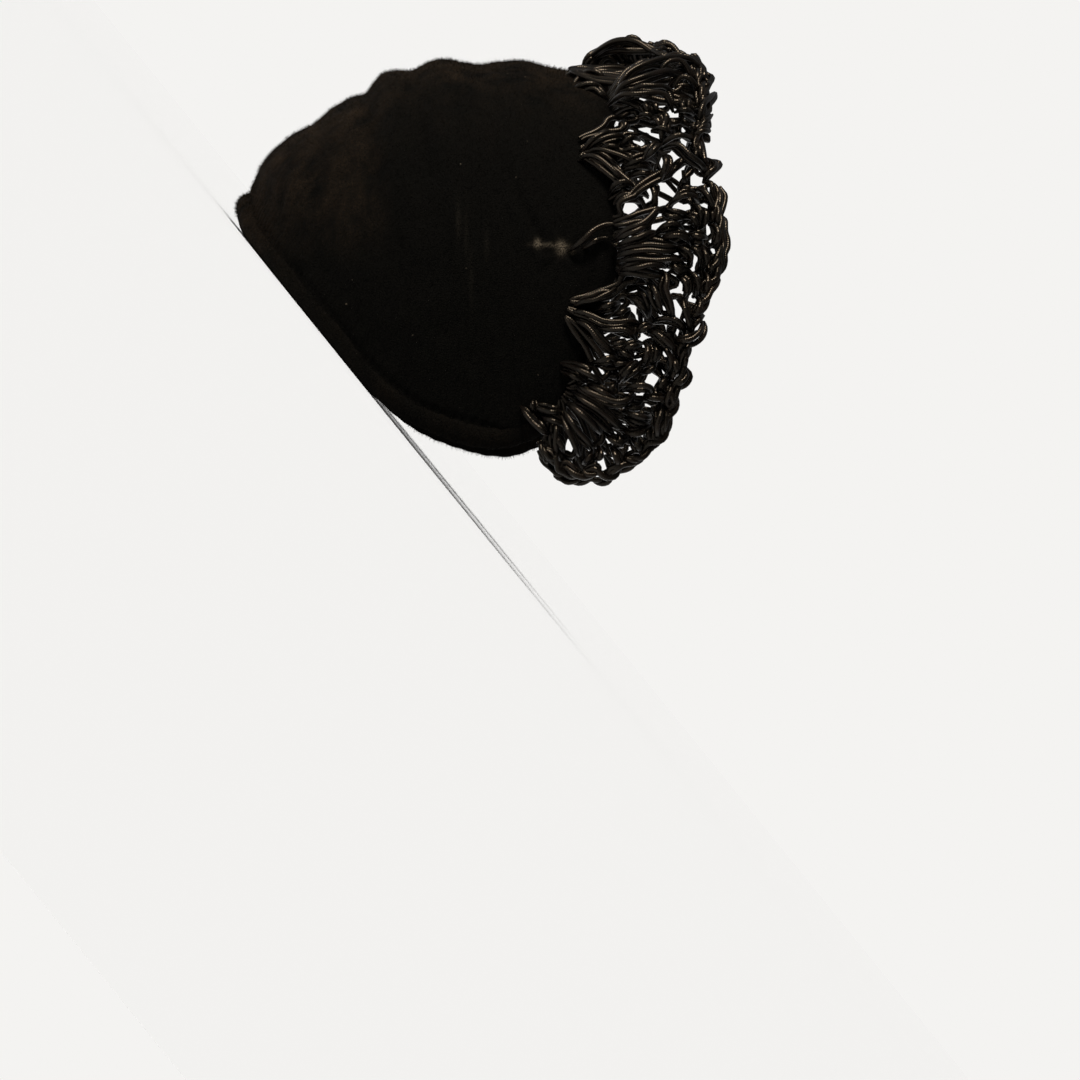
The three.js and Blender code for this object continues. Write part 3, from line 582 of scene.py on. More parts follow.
def seen_at(p):
    """Where the camera sees points: forward and up in the hat's middle plane."""
    nearer = CAMERA_DISTANCE / (CAMERA_DISTANCE - p[..., 0])
    return SIGHT + (p[..., 1:] - SIGHT) * nearer[..., None]


def to_frame(points):
    """Hat points in millimetres as frame points in metres."""
    p = np.asarray(points, float)
    return np.stack([-p[..., 0], MIDDLE_FORWARD - p[..., 1], p[..., 2]], -1) * MM


def turn_to_frame(vectors):
    """Directions at the hat as directions in the frame."""
    return np.asarray(vectors, float) * [-1, -1, 1]


# Materials

def add_node(tree, kind, settings=None, inputs=None):
    """Adds a node: its settings, and its inputs as values, or as the sockets or nodes that feed them."""
    node = tree.nodes.new(kind)
    for name, value in (settings or {}).items():
        setattr(node, name, value)
    for name, value in (inputs or {}).items():
        if isinstance(value, bpy.types.Node):
            value = value.outputs[0]
        if isinstance(value, bpy.types.NodeSocket):
            tree.links.new(value, node.inputs[name])
        else:
            node.inputs[name].default_value = value
    return node


def new_material(name):
    """A node material, its tree and its shader."""
    material = bpy.data.materials.new(name)
    material.use_nodes = True
    return material, material.node_tree, material.node_tree.nodes["Principled BSDF"]


def silk_velvet(name, settings):
    """Silk velvet: a dense sheared pile that swallows light, with dust and crushed nap on its crests, where a
    lighter brown is also painted sheen.
    """
    material, tree, shader = new_material(name)
    place = add_node(tree, "ShaderNodeTexCoord").outputs["Object"]
    dust = add_node(tree, "ShaderNodeAttribute", {"attribute_name": "dust"}).outputs["Fac"]
    rubbed = add_node(tree, "ShaderNodeAttribute", {"attribute_name": "rubbed"}).outputs["Fac"]
    # Crushed patches are about 9 mm wide and three times as long the way that the nap is brushed
    nap = add_node(tree, "ShaderNodeMapping", {"vector_type": "TEXTURE"}, {
        "Vector": place, "Rotation": (-math.radians(VIEW_LEAN), 0, 0), "Scale": (1, 1, 3)})
    patches = add_node(tree, "ShaderNodeTexNoise", inputs={
        "Vector": nap, "Scale": 1 / 0.009, "Detail": 6.0, "Roughness": 0.65})
    crushed = add_node(tree, "ShaderNodeMapRange", inputs={
        "Value": patches.outputs["Fac"], "From Min": 0.34, "From Max": 0.68})
    # The pile's own grain is finer than a render's pixel, so it is drawn 0.5 mm wide
    grain = add_node(tree, "ShaderNodeTexNoise", inputs={"Vector": place, "Scale": 1 / 0.0005, "Detail": 5.0})
    flecks = add_node(tree, "ShaderNodeMapRange", inputs={
        "Value": grain.outputs["Fac"], "From Min": 0.3, "From Max": 0.75})
    lit = add_node(tree, "ShaderNodeMath", {"operation": "MULTIPLY"}, {
        0: crushed, 1: flecks})
    # The crushed pile's colour shows almost only in the band of dust and painted sheen along the crest and on
    # the top of the back
    shown = add_node(tree, "ShaderNodeMath", {"operation": "ADD"}, {0: dust, 1: 0.01})
    share = add_node(tree, "ShaderNodeMath", {"operation": "MULTIPLY", "use_clamp": True}, {
        0: lit, 1: shown})
    colour = add_node(tree, "ShaderNodeMix", {"data_type": "RGBA"}, {
        0: share, 6: settings.dark, 7: settings.worn})
    # Lint and the rubbed tack are pale and broken up by the grain
    specks = add_node(tree, "ShaderNodeTexVoronoi", {"feature": "F1"}, {"Vector": place, "Scale": 1 / 0.007})
    near = add_node(tree, "ShaderNodeMapRange", inputs={
        "Value": specks.outputs["Distance"], "From Min": 0.05, "From Max": 0.02, "To Max": 0.35})
    bare = add_node(tree, "ShaderNodeMath", {"operation": "MULTIPLY_ADD", "use_clamp": True}, {
        0: rubbed, 1: flecks, 2: near})
    linted = add_node(tree, "ShaderNodeMix", {"data_type": "RGBA"}, {
        0: bare, 6: colour.outputs[2], 7: linear("#8c7d68")})
    tree.links.new(linted.outputs[2], shader.inputs["Base Color"])
    tufts = add_node(tree, "ShaderNodeMath", {"operation": "MULTIPLY_ADD"}, {
        0: patches.outputs["Fac"], 1: 3.0, 2: grain.outputs["Fac"]})
    bump = add_node(tree, "ShaderNodeBump", inputs={
        "Height": tufts, "Strength": 1.0, "Distance": 0.0007})
    tree.links.new(bump.outputs[0], shader.inputs["Normal"])
    shader.inputs["Roughness"].default_value = 0.9
    shader.inputs["Specular IOR Level"].default_value = 0.04
    shader.inputs["Sheen Weight"].default_value = settings.shine
    shader.inputs["Sheen Roughness"].default_value = 0.3
    shader.inputs["Sheen Tint"].default_value = linear("#77705f")
    return material


def satin_gimp(name, settings):
    """Gimp cord: silk thread wound closely round a core, so it has fine rings and a satin shine."""
    material, tree, shader = new_material(name)
    place = add_node(tree, "ShaderNodeTexCoord").outputs["Object"]
    along = add_node(tree, "ShaderNodeAttribute", {"attribute_name": "along"})
    # One ring for each turn of the winding, drawn 0.7 mm wide so that it shows
    turns = add_node(tree, "ShaderNodeMath", {"operation": "MULTIPLY"}, {
        0: along.outputs["Fac"], 1: 2 * math.pi / settings.wrap})
    rings = add_node(tree, "ShaderNodeMath", {"operation": "SINE"}, {0: turns})
    age = add_node(tree, "ShaderNodeTexNoise", inputs={"Vector": place, "Scale": 1 / 0.006, "Detail": 3.0})
    faded = add_node(tree, "ShaderNodeMapRange", inputs={
        "Value": age.outputs["Fac"], "From Min": 0.45, "From Max": 0.75})
    colour = add_node(tree, "ShaderNodeMix", {"data_type": "RGBA"}, {
        0: faded, 6: settings.dark, 7: settings.worn})
    tree.links.new(colour.outputs[2], shader.inputs["Base Color"])
    bump = add_node(tree, "ShaderNodeBump", inputs={
        "Height": rings, "Strength": 0.25, "Distance": 0.0001})
    tree.links.new(bump.outputs[0], shader.inputs["Normal"])
    shader.inputs["Roughness"].default_value = 0.28
    shader.inputs["Specular IOR Level"].default_value = 0.25
    shader.inputs["Specular Tint"].default_value = linear("#dfd1be")
    return material


def plain_paper(name, colour):
    """Seamless backdrop paper, pale and matt."""
    material, _, shader = new_material(name)
    shader.inputs["Base Color"].default_value = colour
    shader.inputs["Roughness"].default_value = 0.9
    shader.inputs["Specular IOR Level"].default_value = 0.0
    return material


# Meshes and node trees

def mesh_object(name, points, faces, edges=()):
    """A mesh in an object at the origin."""
    mesh = bpy.data.meshes.new(name)
    mesh.from_pydata([tuple(p) for p in points], edges, faces)
    mesh.update()
    piece = bpy.data.objects.new(name, mesh)
    bpy.context.scene.collection.objects.link(piece)
    return piece


def give_attribute(mesh, name, values, kind="FLOAT"):
    """Stores a value or a vector on each point of a mesh."""
    attribute = mesh.attributes.new(name, kind, "POINT")
    field = "vector" if kind == "FLOAT_VECTOR" else "value"
    attribute.data.foreach_set(field, np.ravel(values).astype(np.float32))


def grow(piece, tree, inputs):
    """Runs a node tree on a piece and keeps its result as a plain mesh."""
    modifier = piece.modifiers.new(tree.name, "NODES")
    modifier.node_group = tree
    for name, value in inputs.items():
        modifier[tree.interface.items_tree[name].identifier] = value
    bpy.context.view_layer.update()
    shown = piece.evaluated_get(bpy.context.evaluated_depsgraph_get())
    grown = bpy.data.meshes.new_from_object(shown)
    piece.modifiers.clear()
    old = piece.data
    piece.data = grown
    grown.name = piece.name
    bpy.data.meshes.remove(old)


def new_tree(name, sizes):
    """A geometry node tree with a geometry in and out, named sizes and a material."""
    tree = bpy.data.node_groups.new(name, "GeometryNodeTree")
    tree.is_modifier = True
    tree.interface.new_socket("Geometry", in_out="INPUT", socket_type="NodeSocketGeometry")
    tree.interface.new_socket("Result", in_out="OUTPUT", socket_type="NodeSocketGeometry")
    for label, kind in sizes.items():
        tree.interface.new_socket(label, in_out="INPUT", socket_type=kind)
    tree.interface.new_socket("Material", in_out="INPUT", socket_type="NodeSocketMaterial")
    return tree, add_node(tree, "NodeGroupInput").outputs


def end_tree(tree, given, geometry):
    """Ends a tree with real, smooth geometry in its material."""
    real = add_node(tree, "GeometryNodeRealizeInstances", inputs={"Geometry": geometry})
    smooth = add_node(tree, "GeometryNodeSetShadeSmooth", inputs={"Geometry": real})
    painted = add_node(tree, "GeometryNodeSetMaterial", inputs={
        "Geometry": smooth, "Material": given["Material"]})
    add_node(tree, "NodeGroupOutput", inputs={"Result": painted})
    return tree


def swept_cord(tree, curve, sides, scale):
    """A curve as a round cord that keeps its distance along itself."""
    parameter = add_node(tree, "GeometryNodeSplineParameter")
    marked = add_node(tree, "GeometryNodeStoreNamedAttribute", {"data_type": "FLOAT", "domain": "POINT"}, {
        "Geometry": curve, "Name": "along", "Value": parameter.outputs["Length"]})
    ring = add_node(tree, "GeometryNodeCurvePrimitiveCircle", inputs={"Resolution": sides, "Radius": 1.0})
    return add_node(tree, "GeometryNodeCurveToMesh", inputs={
        "Curve": marked, "Profile Curve": ring, "Scale": scale, "Fill Caps": True})


def cord_tree():
    """Sweeps every chain of edges as a smooth cord; each point's radius is its own."""
    tree, given = new_tree("Gimp cord", {"Step": "NodeSocketFloat", "Sides": "NodeSocketInt"})
    curve = add_node(tree, "GeometryNodeMeshToCurve", inputs={"Mesh": given["Geometry"]})
    soft = add_node(tree, "GeometryNodeCurveSplineType", {"spline_type": "CATMULL_ROM"}, {
        "Curve": curve})
    even = add_node(tree, "GeometryNodeResampleCurve", {"mode": "LENGTH"}, {
        "Curve": soft, "Length": given["Step"]})
    thick = add_node(tree, "GeometryNodeInputNamedAttribute", {"data_type": "FLOAT"}, {"Name": "thick"})
    cord = swept_cord(tree, even, given["Sides"], thick.outputs["Attribute"])
    return end_tree(tree, given, cord)


def link_tree():
    """Sets a crochet link on every point: an oval loop with a twist, turned in turn to each side."""
    tree, given = new_tree("Crochet links", {
        "Length": "NodeSocketFloat", "Width": "NodeSocketFloat", "Twist": "NodeSocketFloat",
        "Cord": "NodeSocketFloat", "Turn": "NodeSocketFloat", "Seed": "NodeSocketInt"})
    ring = add_node(tree, "GeometryNodeCurvePrimitiveCircle", inputs={"Resolution": 14, "Radius": 1.0})
    place = add_node(tree, "GeometryNodeInputPosition")
    parts = add_node(tree, "ShaderNodeSeparateXYZ", inputs={0: place})
    half_length = add_node(tree, "ShaderNodeMath", {"operation": "MULTIPLY"}, {0: given["Length"], 1: 0.5})
    half_width = add_node(tree, "ShaderNodeMath", {"operation": "MULTIPLY"}, {0: given["Width"], 1: 0.5})
    x = add_node(tree, "ShaderNodeMath", {"operation": "MULTIPLY"}, {
        0: parts, 1: half_length})
    y = add_node(tree, "ShaderNodeMath", {"operation": "MULTIPLY"}, {
        0: parts.outputs[1], 1: half_width})
    saddle = add_node(tree, "ShaderNodeMath", {"operation": "MULTIPLY"}, {
        0: parts, 1: parts.outputs[1]})
    z = add_node(tree, "ShaderNodeMath", {"operation": "MULTIPLY"}, {0: saddle, 1: given["Twist"]})
    oval = add_node(tree, "ShaderNodeCombineXYZ", inputs={0: x, 1: y, 2: z})
    shaped = add_node(tree, "GeometryNodeSetPosition", inputs={
        "Geometry": ring, "Position": oval})
    radius = add_node(tree, "ShaderNodeMath", {"operation": "MULTIPLY"}, {0: given["Cord"], 1: 0.5})
    link = swept_cord(tree, shaped, 7, radius)

    ahead, out = (
        add_node(tree, "GeometryNodeInputNamedAttribute", {"data_type": "FLOAT_VECTOR"}, {"Name": name})
        for name in ("ahead", "out"))
    size = add_node(tree, "GeometryNodeInputNamedAttribute", {"data_type": "FLOAT"}, {"Name": "size"})
    facing = add_node(tree, "FunctionNodeAxesToRotation", {"primary_axis": "X", "secondary_axis": "Z"}, {
        0: ahead.outputs["Attribute"], 1: out.outputs["Attribute"]})
    index = add_node(tree, "GeometryNodeInputIndex")
    odd = add_node(tree, "ShaderNodeMath", {"operation": "MODULO"}, {0: index, 1: 2.0})
    either = add_node(tree, "ShaderNodeMath", {"operation": "MULTIPLY_ADD"}, {
        0: odd, 1: 2.0, 2: -1.0})
    stray = add_node(tree, "FunctionNodeRandomValue", {"data_type": "FLOAT"}, {
        2: -0.5, 3: 0.5, "Seed": given["Seed"]})
    turned = add_node(tree, "ShaderNodeMath", {"operation": "MULTIPLY_ADD"}, {
        0: either, 1: given["Turn"], 2: stray.outputs[1]})
    roll = add_node(tree, "FunctionNodeAxisAngleToRotation", inputs={
        "Axis": (1.0, 0.0, 0.0), "Angle": turned})
    rotation = add_node(tree, "FunctionNodeRotateRotation", {"rotation_space": "LOCAL"}, {
        0: facing, 1: roll})
    placed = add_node(tree, "GeometryNodeInstanceOnPoints", inputs={
        "Points": given["Geometry"], "Instance": link, "Rotation": rotation,
        "Scale": size.outputs["Attribute"]})
    return end_tree(tree, given, placed)


def pile_tree():
    """Plants the velvet's longest hairs: thin cones, each with a lean of its own."""
    tree, given = new_tree("Velvet pile", {
        "Density": "NodeSocketFloat", "Length": "NodeSocketFloat", "Thickness": "NodeSocketFloat",
        "Lean": "NodeSocketFloat", "Seed": "NodeSocketInt"})
    haired = add_node(tree, "GeometryNodeInputNamedAttribute", {"data_type": "FLOAT"}, {"Name": "haired"})
    dense = add_node(tree, "ShaderNodeMath", {"operation": "MULTIPLY"}, {
        0: haired.outputs["Attribute"], 1: given["Density"]})
    spread = add_node(tree, "GeometryNodeDistributePointsOnFaces", inputs={
        "Mesh": given["Geometry"], "Density": dense, "Seed": given["Seed"]})
    hair = add_node(tree, "GeometryNodeMeshCone", {"fill_type": "NGON"}, {
        "Vertices": 3, "Radius Bottom": given["Thickness"], "Depth": given["Length"]})
    minus = add_node(tree, "ShaderNodeMath", {"operation": "MULTIPLY"}, {0: given["Lean"], 1: -1.0})
    low = add_node(tree, "ShaderNodeCombineXYZ", inputs={axis: minus for axis in range(3)})
    high = add_node(tree, "ShaderNodeCombineXYZ", inputs={axis: given["Lean"] for axis in range(3)})
    stray = add_node(tree, "FunctionNodeRandomValue", {"data_type": "FLOAT_VECTOR"}, {
        0: low, 1: high, "Seed": given["Seed"]})
    leaning = add_node(tree, "ShaderNodeVectorMath", {"operation": "ADD"}, {
        0: spread.outputs["Normal"], 1: stray})
    up = add_node(tree, "FunctionNodeAlignRotationToVector", {"axis": "Z"}, {"Vector": leaning})
    planted = add_node(tree, "GeometryNodeInstanceOnPoints", inputs={
        "Points": spread, "Instance": hair, "Rotation": up})
    sizes = add_node(tree, "FunctionNodeRandomValue", {"data_type": "FLOAT"}, {
        2: 0.5, 3: 1.0, "Seed": given["Seed"]})
    trimmed = add_node(tree, "GeometryNodeScaleInstances", inputs={
        "Instances": planted, "Scale": sizes.outputs[1]})
    return end_tree(tree, given, trimmed)


def finish_piece(piece, nodes=()):
    """Rides a finished piece on the hat and lets it stand for its frame nodes."""
    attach(piece, "root")
    if nodes:
        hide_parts(*nodes)


def noise_at(points, scale, octaves, seed):
    """Fractal noise about 0 at each point; scale is the size of its largest dents."""
    shift = Vector((seed, seed * 1.7, -seed))
    flat = points.reshape(-1, 3) / scale
    values = [noise.fractal(Vector(p) + shift, 1.0, 2.0, octaves) for p in flat]
    return np.array(values).reshape(points.shape[:-1])


def band_faces(rows, columns, closed=False):
    """Quads between rows of points."""
    faces = []
    last = columns if closed else columns - 1
    for r in range(rows - 1):
        for c in range(last):
            a = r * columns + c
            b = r * columns + (c + 1) % columns
            faces.append((a, b, b + columns, a + columns))
    return faces


def give_wear_and_sheen(mesh, points, haired, dust=0.0):
    """Marks the velvet's crest band of dust and painted sheen, its rubbed places, and where hairs stand."""
    ahead, up = points[:, 1] - WORN_MIDDLE, points[:, 2]
    lean = math.radians(VIEW_LEAN)
    right = ahead * math.cos(lean) + up * math.sin(lean)
    down = ahead * math.sin(lean) - up * math.cos(lean)
    # A band along the crest as the camera sees it: dust, and painted sheen where the light grazes the top
    crest = np.array(CREST)
    under = down - np.interp(right, crest[:, 0], crest[:, 1])
    band = np.exp(-(under / DUST_SHEEN_HALF) ** 2) + DUST_SHEEN_FADE * np.exp(-(under / DUST_SHEEN_FADE_HALF) ** 2)
    # The top of the back gets dust and painted sheen as well, behind the crest that the camera sees
    back = smooth_step(-right, -46, -32) * smooth_step(-down, -8, 14)
    give_attribute(mesh, "dust", np.clip(band + 0.7 * back + dust, 0, 1.3))
    rubbed = np.zeros(len(points))
    seen = seen_at(points)
    for forward, high, wide, tall, strength in RUBBED:
        to_side = (seen[:, 0] - forward, seen[:, 1] - high)
        along = to_side[0] * math.sin(lean) - to_side[1] * math.cos(lean)
        across = to_side[0] * math.cos(lean) + to_side[1] * math.sin(lean)
        if strength < FAINT:
            along, across = across, along
        rubbed += strength * np.exp(-(across / wide) ** 2 - (along / tall) ** 2)
    give_attribute(mesh, "rubbed", rubbed * (points[:, 0] > RIGHT_FROM))
    give_attribute(mesh, "haired", haired)


# Velvet crown

CROWN_COLUMNS = 360
CROWN_ROWS = 150
CROWN_REACH = 0.988  # share of the corner's angle that the sheet reaches
SLACK_LEAN = 31  # degrees that the slack's ripples lean from the level
TURN_DEPTH = 1.1  # how far the velvet falls at its turned front edge
TURN_LENGTH = 1.6  # and over what length
GATHER_HEIGHT = 0.22  # of the gathers above the roll
GATHER_WAVES = 210  # radians of their wave for each radian round the crown
ROLL_PULL = 0.6  # how far the velvet is drawn in along the roll


def angle_of(forward, up):
    """The angle round a level section, 0 at the back, of a point seen from the side."""
    c = 1 - (forward - back_at(up)) / CROWN_ROUND
    return np.arccos(np.clip(np.sign(c) * np.abs(c) ** (CROWN_FULLNESS / 2), -1, 1))


def crown_point(angle, up):
    """The crown's point at an angle round its level section."""
    c, s = np.cos(angle), np.sin(angle)
    power = 2 / CROWN_FULLNESS
    forward = back_at(up) + CROWN_ROUND * (1 - np.sign(c) * np.abs(c) ** power)
    return np.stack([width_at(up) * np.sign(s) * np.abs(s) ** power, forward, up], -1)


def creases(p):
    """The pinched crease, its puckers at the tack, and the fine slack of velvet over its base."""
    start, end, tack = np.array(CREASE_START), np.array(CREASE_END), np.array(TACK)
    seen = seen_at(p)
    run = end - start
    t = np.clip(((seen - start) @ run) / (run @ run), 0, 1)
    away = np.linalg.norm(seen - (start + t[..., None] * run), axis=-1)
    pinch = -CREASE_DEPTH * np.exp(-(away / CREASE_HALF) ** 2) * (0.35 + 0.65 * t)
    pinch += 0.5 * np.exp(-((away - 3.6) / 2.0) ** 2) * t
    to_tack = seen - tack
    far = np.linalg.norm(to_tack, axis=-1)
    rays = np.cos(7 * np.arctan2(to_tack[..., 1], to_tack[..., 0]))
    pucker = -TACK_DEPTH * np.exp(-(far / TACK_HALF) ** 2) + 0.35 * rays * np.exp(-((far - 5) / 4) ** 2)
    side = smooth_step(p[..., 0], RIGHT_FROM, 2 * RIGHT_FROM)
    lean = math.radians(SLACK_LEAN)
    turned = np.stack([
        p[..., 0] / 26,
        (p[..., 1] * math.cos(lean) - p[..., 2] * math.sin(lean)) / 34,
        (p[..., 1] * math.sin(lean) + p[..., 2] * math.cos(lean)) / 7,
    ], -1)
    slack = 0.35 * noise_at(turned, 1.0, 2, 3.0) + 0.25 * noise_at(p, 9.0, 3, 7.0)
    return (pinch + pucker) * side + slack


def velvet_crown(settings, material):
    """The crown as one closed wall: outside, turned front edge, inside, and back to the outside."""
    reach = angle_of(*FRONT_CORNER) * CROWN_REACH
    angles = np.linspace(-reach, reach, CROWN_COLUMNS)
    front_angle = angle_of(FRONT_SAMPLES[:, 0], FRONT_SAMPLES[:, 1])
    lower_angle = angle_of(LOWER_SAMPLES[:, 0], LOWER_SAMPLES[:, 1])
    front_angle[0] = lower_angle[0] = 0
    top = np.interp(np.abs(angles), front_angle, FRONT_SAMPLES[:, 1])
    low = np.interp(np.abs(angles), lower_angle, LOWER_SAMPLES[:, 1])
    tuck = np.minimum(BINDING_WIDTH * 0.55, (top - low) * 0.4)
    share = np.linspace(0, 1, CROWN_ROWS)[:, None]
    up = (low + tuck) + (top - low - tuck) * share
    sheet = crown_point(np.broadcast_to(angles, up.shape), up)
    normal = normal_at(sheet)
    height = fold_at(sheet) + creases(sheet) * settings.slack
    # The velvet turns over its front edge, and is drawn down tight under the roll
    ahead = np.abs(up - top)
    height = height - TURN_DEPTH * np.exp(-(ahead / TURN_LENGTH) ** 2)
    waves = GATHER_HEIGHT * np.sin(angles * GATHER_WAVES)[None, :]
    gather = waves * np.exp(-((up - low - BINDING_WIDTH) / 5) ** 2)
    gather -= ROLL_PULL * np.exp(-((up - low - BINDING_WIDTH * 0.95) / 1.3) ** 2)
    outer = sheet + normal * (height + gather)[..., None]
    inner = sheet - normal * WALL
    lip = sheet[-1] - normal[-1] * WALL / 2
    ahead_way = sheet[-1] - sheet[-2]
    ahead_way /= np.linalg.norm(ahead_way, axis=-1, keepdims=True)
    turns = []
    for angle in np.radians([60, 25, -10, -45]):
        turns.append(lip + normal[-1] * (WALL / 2 * math.sin(angle)) + ahead_way * math.cos(angle))
    rows = np.concatenate([outer, np.array(turns), inner[::-1][::2]])
    count, columns = len(rows), CROWN_COLUMNS
    faces = band_faces(count, columns)
    # The strip of rows closes on itself along the lower edge, and its two ends are capped
    last = (count - 1) * columns
    faces += [(last + c, last + c + 1, c + 1, c) for c in range(columns - 1)]
    faces.append(tuple(r * columns for r in range(count)))
    faces.append(tuple(r * columns + columns - 1 for r in range(count - 1, -1, -1)))
    piece = mesh_object("velvet_crown", to_frame(rows.reshape(-1, 3)), faces)
    outside = np.repeat(np.arange(count) < CROWN_ROWS + len(turns), columns)
    give_wear_and_sheen(piece.data, rows.reshape(-1, 3), outside)
    piece.data.shade_smooth()
    piece.data.materials.append(material)
    return piece


# Rolled binding

ROLL_STEPS = 420
ROLL_SIDES = 20
ROLL_HAIRS_FROM = 2.4  # above the pressed underside
FLOOR_ROOM = 0.05  # the pressed underside stays this far over the floor
ROLL_GATHER = 0.035  # height of the roll's gathers, as a share of its thickness
GATHER_LENGTH = 5.9375
GATHER_SLANT = 2.2  # how far they slant: radians of their wave for each radian round the roll


def rolled_binding(settings, material):
    """The roll of velvet that turns the back and lower edges, pressed flat where it rests."""
    share = np.linspace(-1, 1, ROLL_STEPS)
    seen = along_line(LOWER_SAMPLES, np.abs(share) ** 1.6)
    rim = from_side(seen[:, 0], seen[:, 1], np.sign(share))
    rim = along_line(rim, np.linspace(0, 1, ROLL_STEPS))
    way = np.gradient(rim, axis=0)
    way /= np.linalg.norm(way, axis=-1, keepdims=True)
    normal = normal_at(rim)
    inward = -np.cross(way, normal)
    inward /= np.linalg.norm(inward, axis=-1, keepdims=True)
    inward *= np.where(inward[:, 2] < 0, -1, 1)[:, None]
    outward = np.cross(inward, way)
    outward /= np.linalg.norm(outward, axis=-1, keepdims=True)
    centre = rim + inward * (BINDING_WIDTH / 2 - REST_PRESS) - normal * (WALL / 2)
    # The roll swells and slackens, with small slanting gathers
    swell = 1 + settings.unevenness * noise_at(centre, 16.0, 3, 11.0)
    length = np.linspace(0, 1, ROLL_STEPS) * np.linalg.norm(np.diff(rim, axis=0), axis=1).sum()
    rings = []
    for k in range(ROLL_SIDES):
        angle = 2 * math.pi * k / ROLL_SIDES
        gathers = 1 + ROLL_GATHER * np.sin(2 * math.pi * length / GATHER_LENGTH + GATHER_SLANT * angle)
        wide = (BINDING_WIDTH / 2 * swell * gathers)[:, None] * math.cos(angle)
        thick = (BINDING_THICKNESS / 2 * swell * gathers)[:, None] * math.sin(angle)
        rings.append(centre + inward * wide + outward * thick)
    points = np.stack(rings, 1)
    points[..., 2] = np.maximum(points[..., 2], FLOOR_ROOM)
    ends = [centre[0] - way[0] * 1.2, centre[-1] + way[-1] * 1.2]
    faces = band_faces(ROLL_STEPS, ROLL_SIDES, closed=True)
    first, last = ROLL_STEPS * ROLL_SIDES, ROLL_STEPS * ROLL_SIDES + 1
    base = (ROLL_STEPS - 1) * ROLL_SIDES
    for k in range(ROLL_SIDES):
        faces.append((first, (k + 1) % ROLL_SIDES, k))
        faces.append((last, base + k, base + (k + 1) % ROLL_SIDES))
    everything = np.vstack([points.reshape(-1, 3), ends])
    piece = mesh_object("rolled_binding", to_frame(everything), faces)
    give_wear_and_sheen(piece.data, everything, everything[:, 2] > ROLL_HAIRS_FROM, 0.12)
    piece.data.shade_smooth()
    piece.data.materials.append(material)
    return piece


def face_outwards(piece):
    """Turns the whole closed mesh right side out."""
    mesh = piece.data
    mesh.calc_loop_triangles()
    points = np.array([v.co for v in mesh.vertices])
    tri = np.array([t.vertices for t in mesh.loop_triangles])
    a, b, c = points[tri[:, 0]], points[tri[:, 1]], points[tri[:, 2]]
    if np.einsum("ij,ij->i", a, np.cross(b, c)).sum() < 0:
        mesh.flip_normals()
    return piece


# Crocheted shells

class Cords:
    """Collects the cords and the links of one crocheted piece, in hat millimetres."""

    def __init__(self, seed):
        # Cords are points, edges between them, radii, and whether a point is held in its place
        self.random = np.random.default_rng(seed)
        self.points, self.edges, self.thick, self.held = [], [], [], []
        self.links, self.ahead, self.size = [], [], []

    def add(self, route, thick, held=False):
        """A cord along a route, a little thinner at its ends, where its stitch is drawn tight."""
        first = len(self.points)
        self.points += list(route)
        self.edges += [(first + i, first + i + 1) for i in range(len(route) - 1)]
        t = np.linspace(0, 1, len(route))
        tight = 1 - TIGHT_START[0] * np.exp(-(t / TIGHT_START[1]) ** 2)
        tight -= TIGHT_END[0] * np.exp(-((1 - t) / TIGHT_END[1]) ** 2)
        tight[[0, -1]] *= END_WIDTH
        self.thick += list(CORD_DIAMETER / 2 * thick * tight)
        self.held += [held] * len(route)

    def add_under(self, route, thick):
        """A cord of the lower layer, with points close enough to go round the gaps."""
        line = smooth_line(route, 6)
        length = np.linalg.norm(np.diff(line, axis=0), axis=1).sum()
        self.add(along_line(line, np.linspace(0, 1, round(length / UNDER_STEP) + 1)), thick)

    def add_links(self, line, spacing, size):
        """Links along a line of points at about this spacing."""
        length = np.linalg.norm(np.diff(line, axis=0), axis=1).sum()
        count = max(2, round(length / spacing))
        at = np.linspace(0.5 / count, 1 - 0.5 / count, count)
        spots = along_line(line, at)
        way = along_line(line, np.minimum(at + 0.02, 1)) - along_line(line, np.maximum(at - 0.02, 0))
        way /= np.linalg.norm(way, axis=-1, keepdims=True)
        self.links += list(spots + self.random.normal(0, LINK_STRAY, spots.shape))
        self.ahead += list(way)
        self.size += list(size * self.random.uniform(0.9, 1.1, count))

    def take(self, other):
        """Takes over another collection's cords."""
        first = len(self.points)
        self.points += other.points
        self.edges += [(a + first, b + first) for a, b in other.edges]
        self.thick += other.thick
        self.held += other.held

    def mirror(self):
        """Turns the right side's cords into the left side's, where none is held."""
        across = np.array([-1, 1, 1])
        self.points = [p * across for p in self.points]
        self.links = [p * across for p in self.links]
        self.ahead = [p * across for p in self.ahead]
        self.held = [False] * len(self.points)

    def open_gaps(self):
        """Moves what isn't held out of the camera's way through the gaps."""
        points = np.array(self.points)
        clear = clear_of_gaps(points, CORD_DIAMETER * 0.5)
        self.points = list(np.where(np.array(self.held)[:, None], points, clear))
        if self.links:
            self.links = list(clear_of_gaps(np.array(self.links), CORD_DIAMETER))


def clear_of_gaps(points, room):
    """Points moved aside, as the camera sees them, until each gap has this room round it."""
    seen = seen_at(points)
    for forward, up, radius in GAPS:
        away = seen - (forward, up)
        far = np.maximum(np.linalg.norm(away, axis=-1, keepdims=True), 0.01)
        seen = seen + away / far * np.maximum(radius + room - far, 0)
    farther = (CAMERA_DISTANCE - points[:, :1]) / CAMERA_DISTANCE
    return np.hstack([points[:, :1], SIGHT + (seen - SIGHT) * farther])


def dome_at(share):
    """Height of a big shell's dome, from 0 to 1, at a share of its reach."""
    flat = np.clip(share, 0, 1)
    return (1 - np.abs(2 * flat ** DOME_SKEW - 1) ** DOME_FULLNESS) ** DOME_SHOULDER


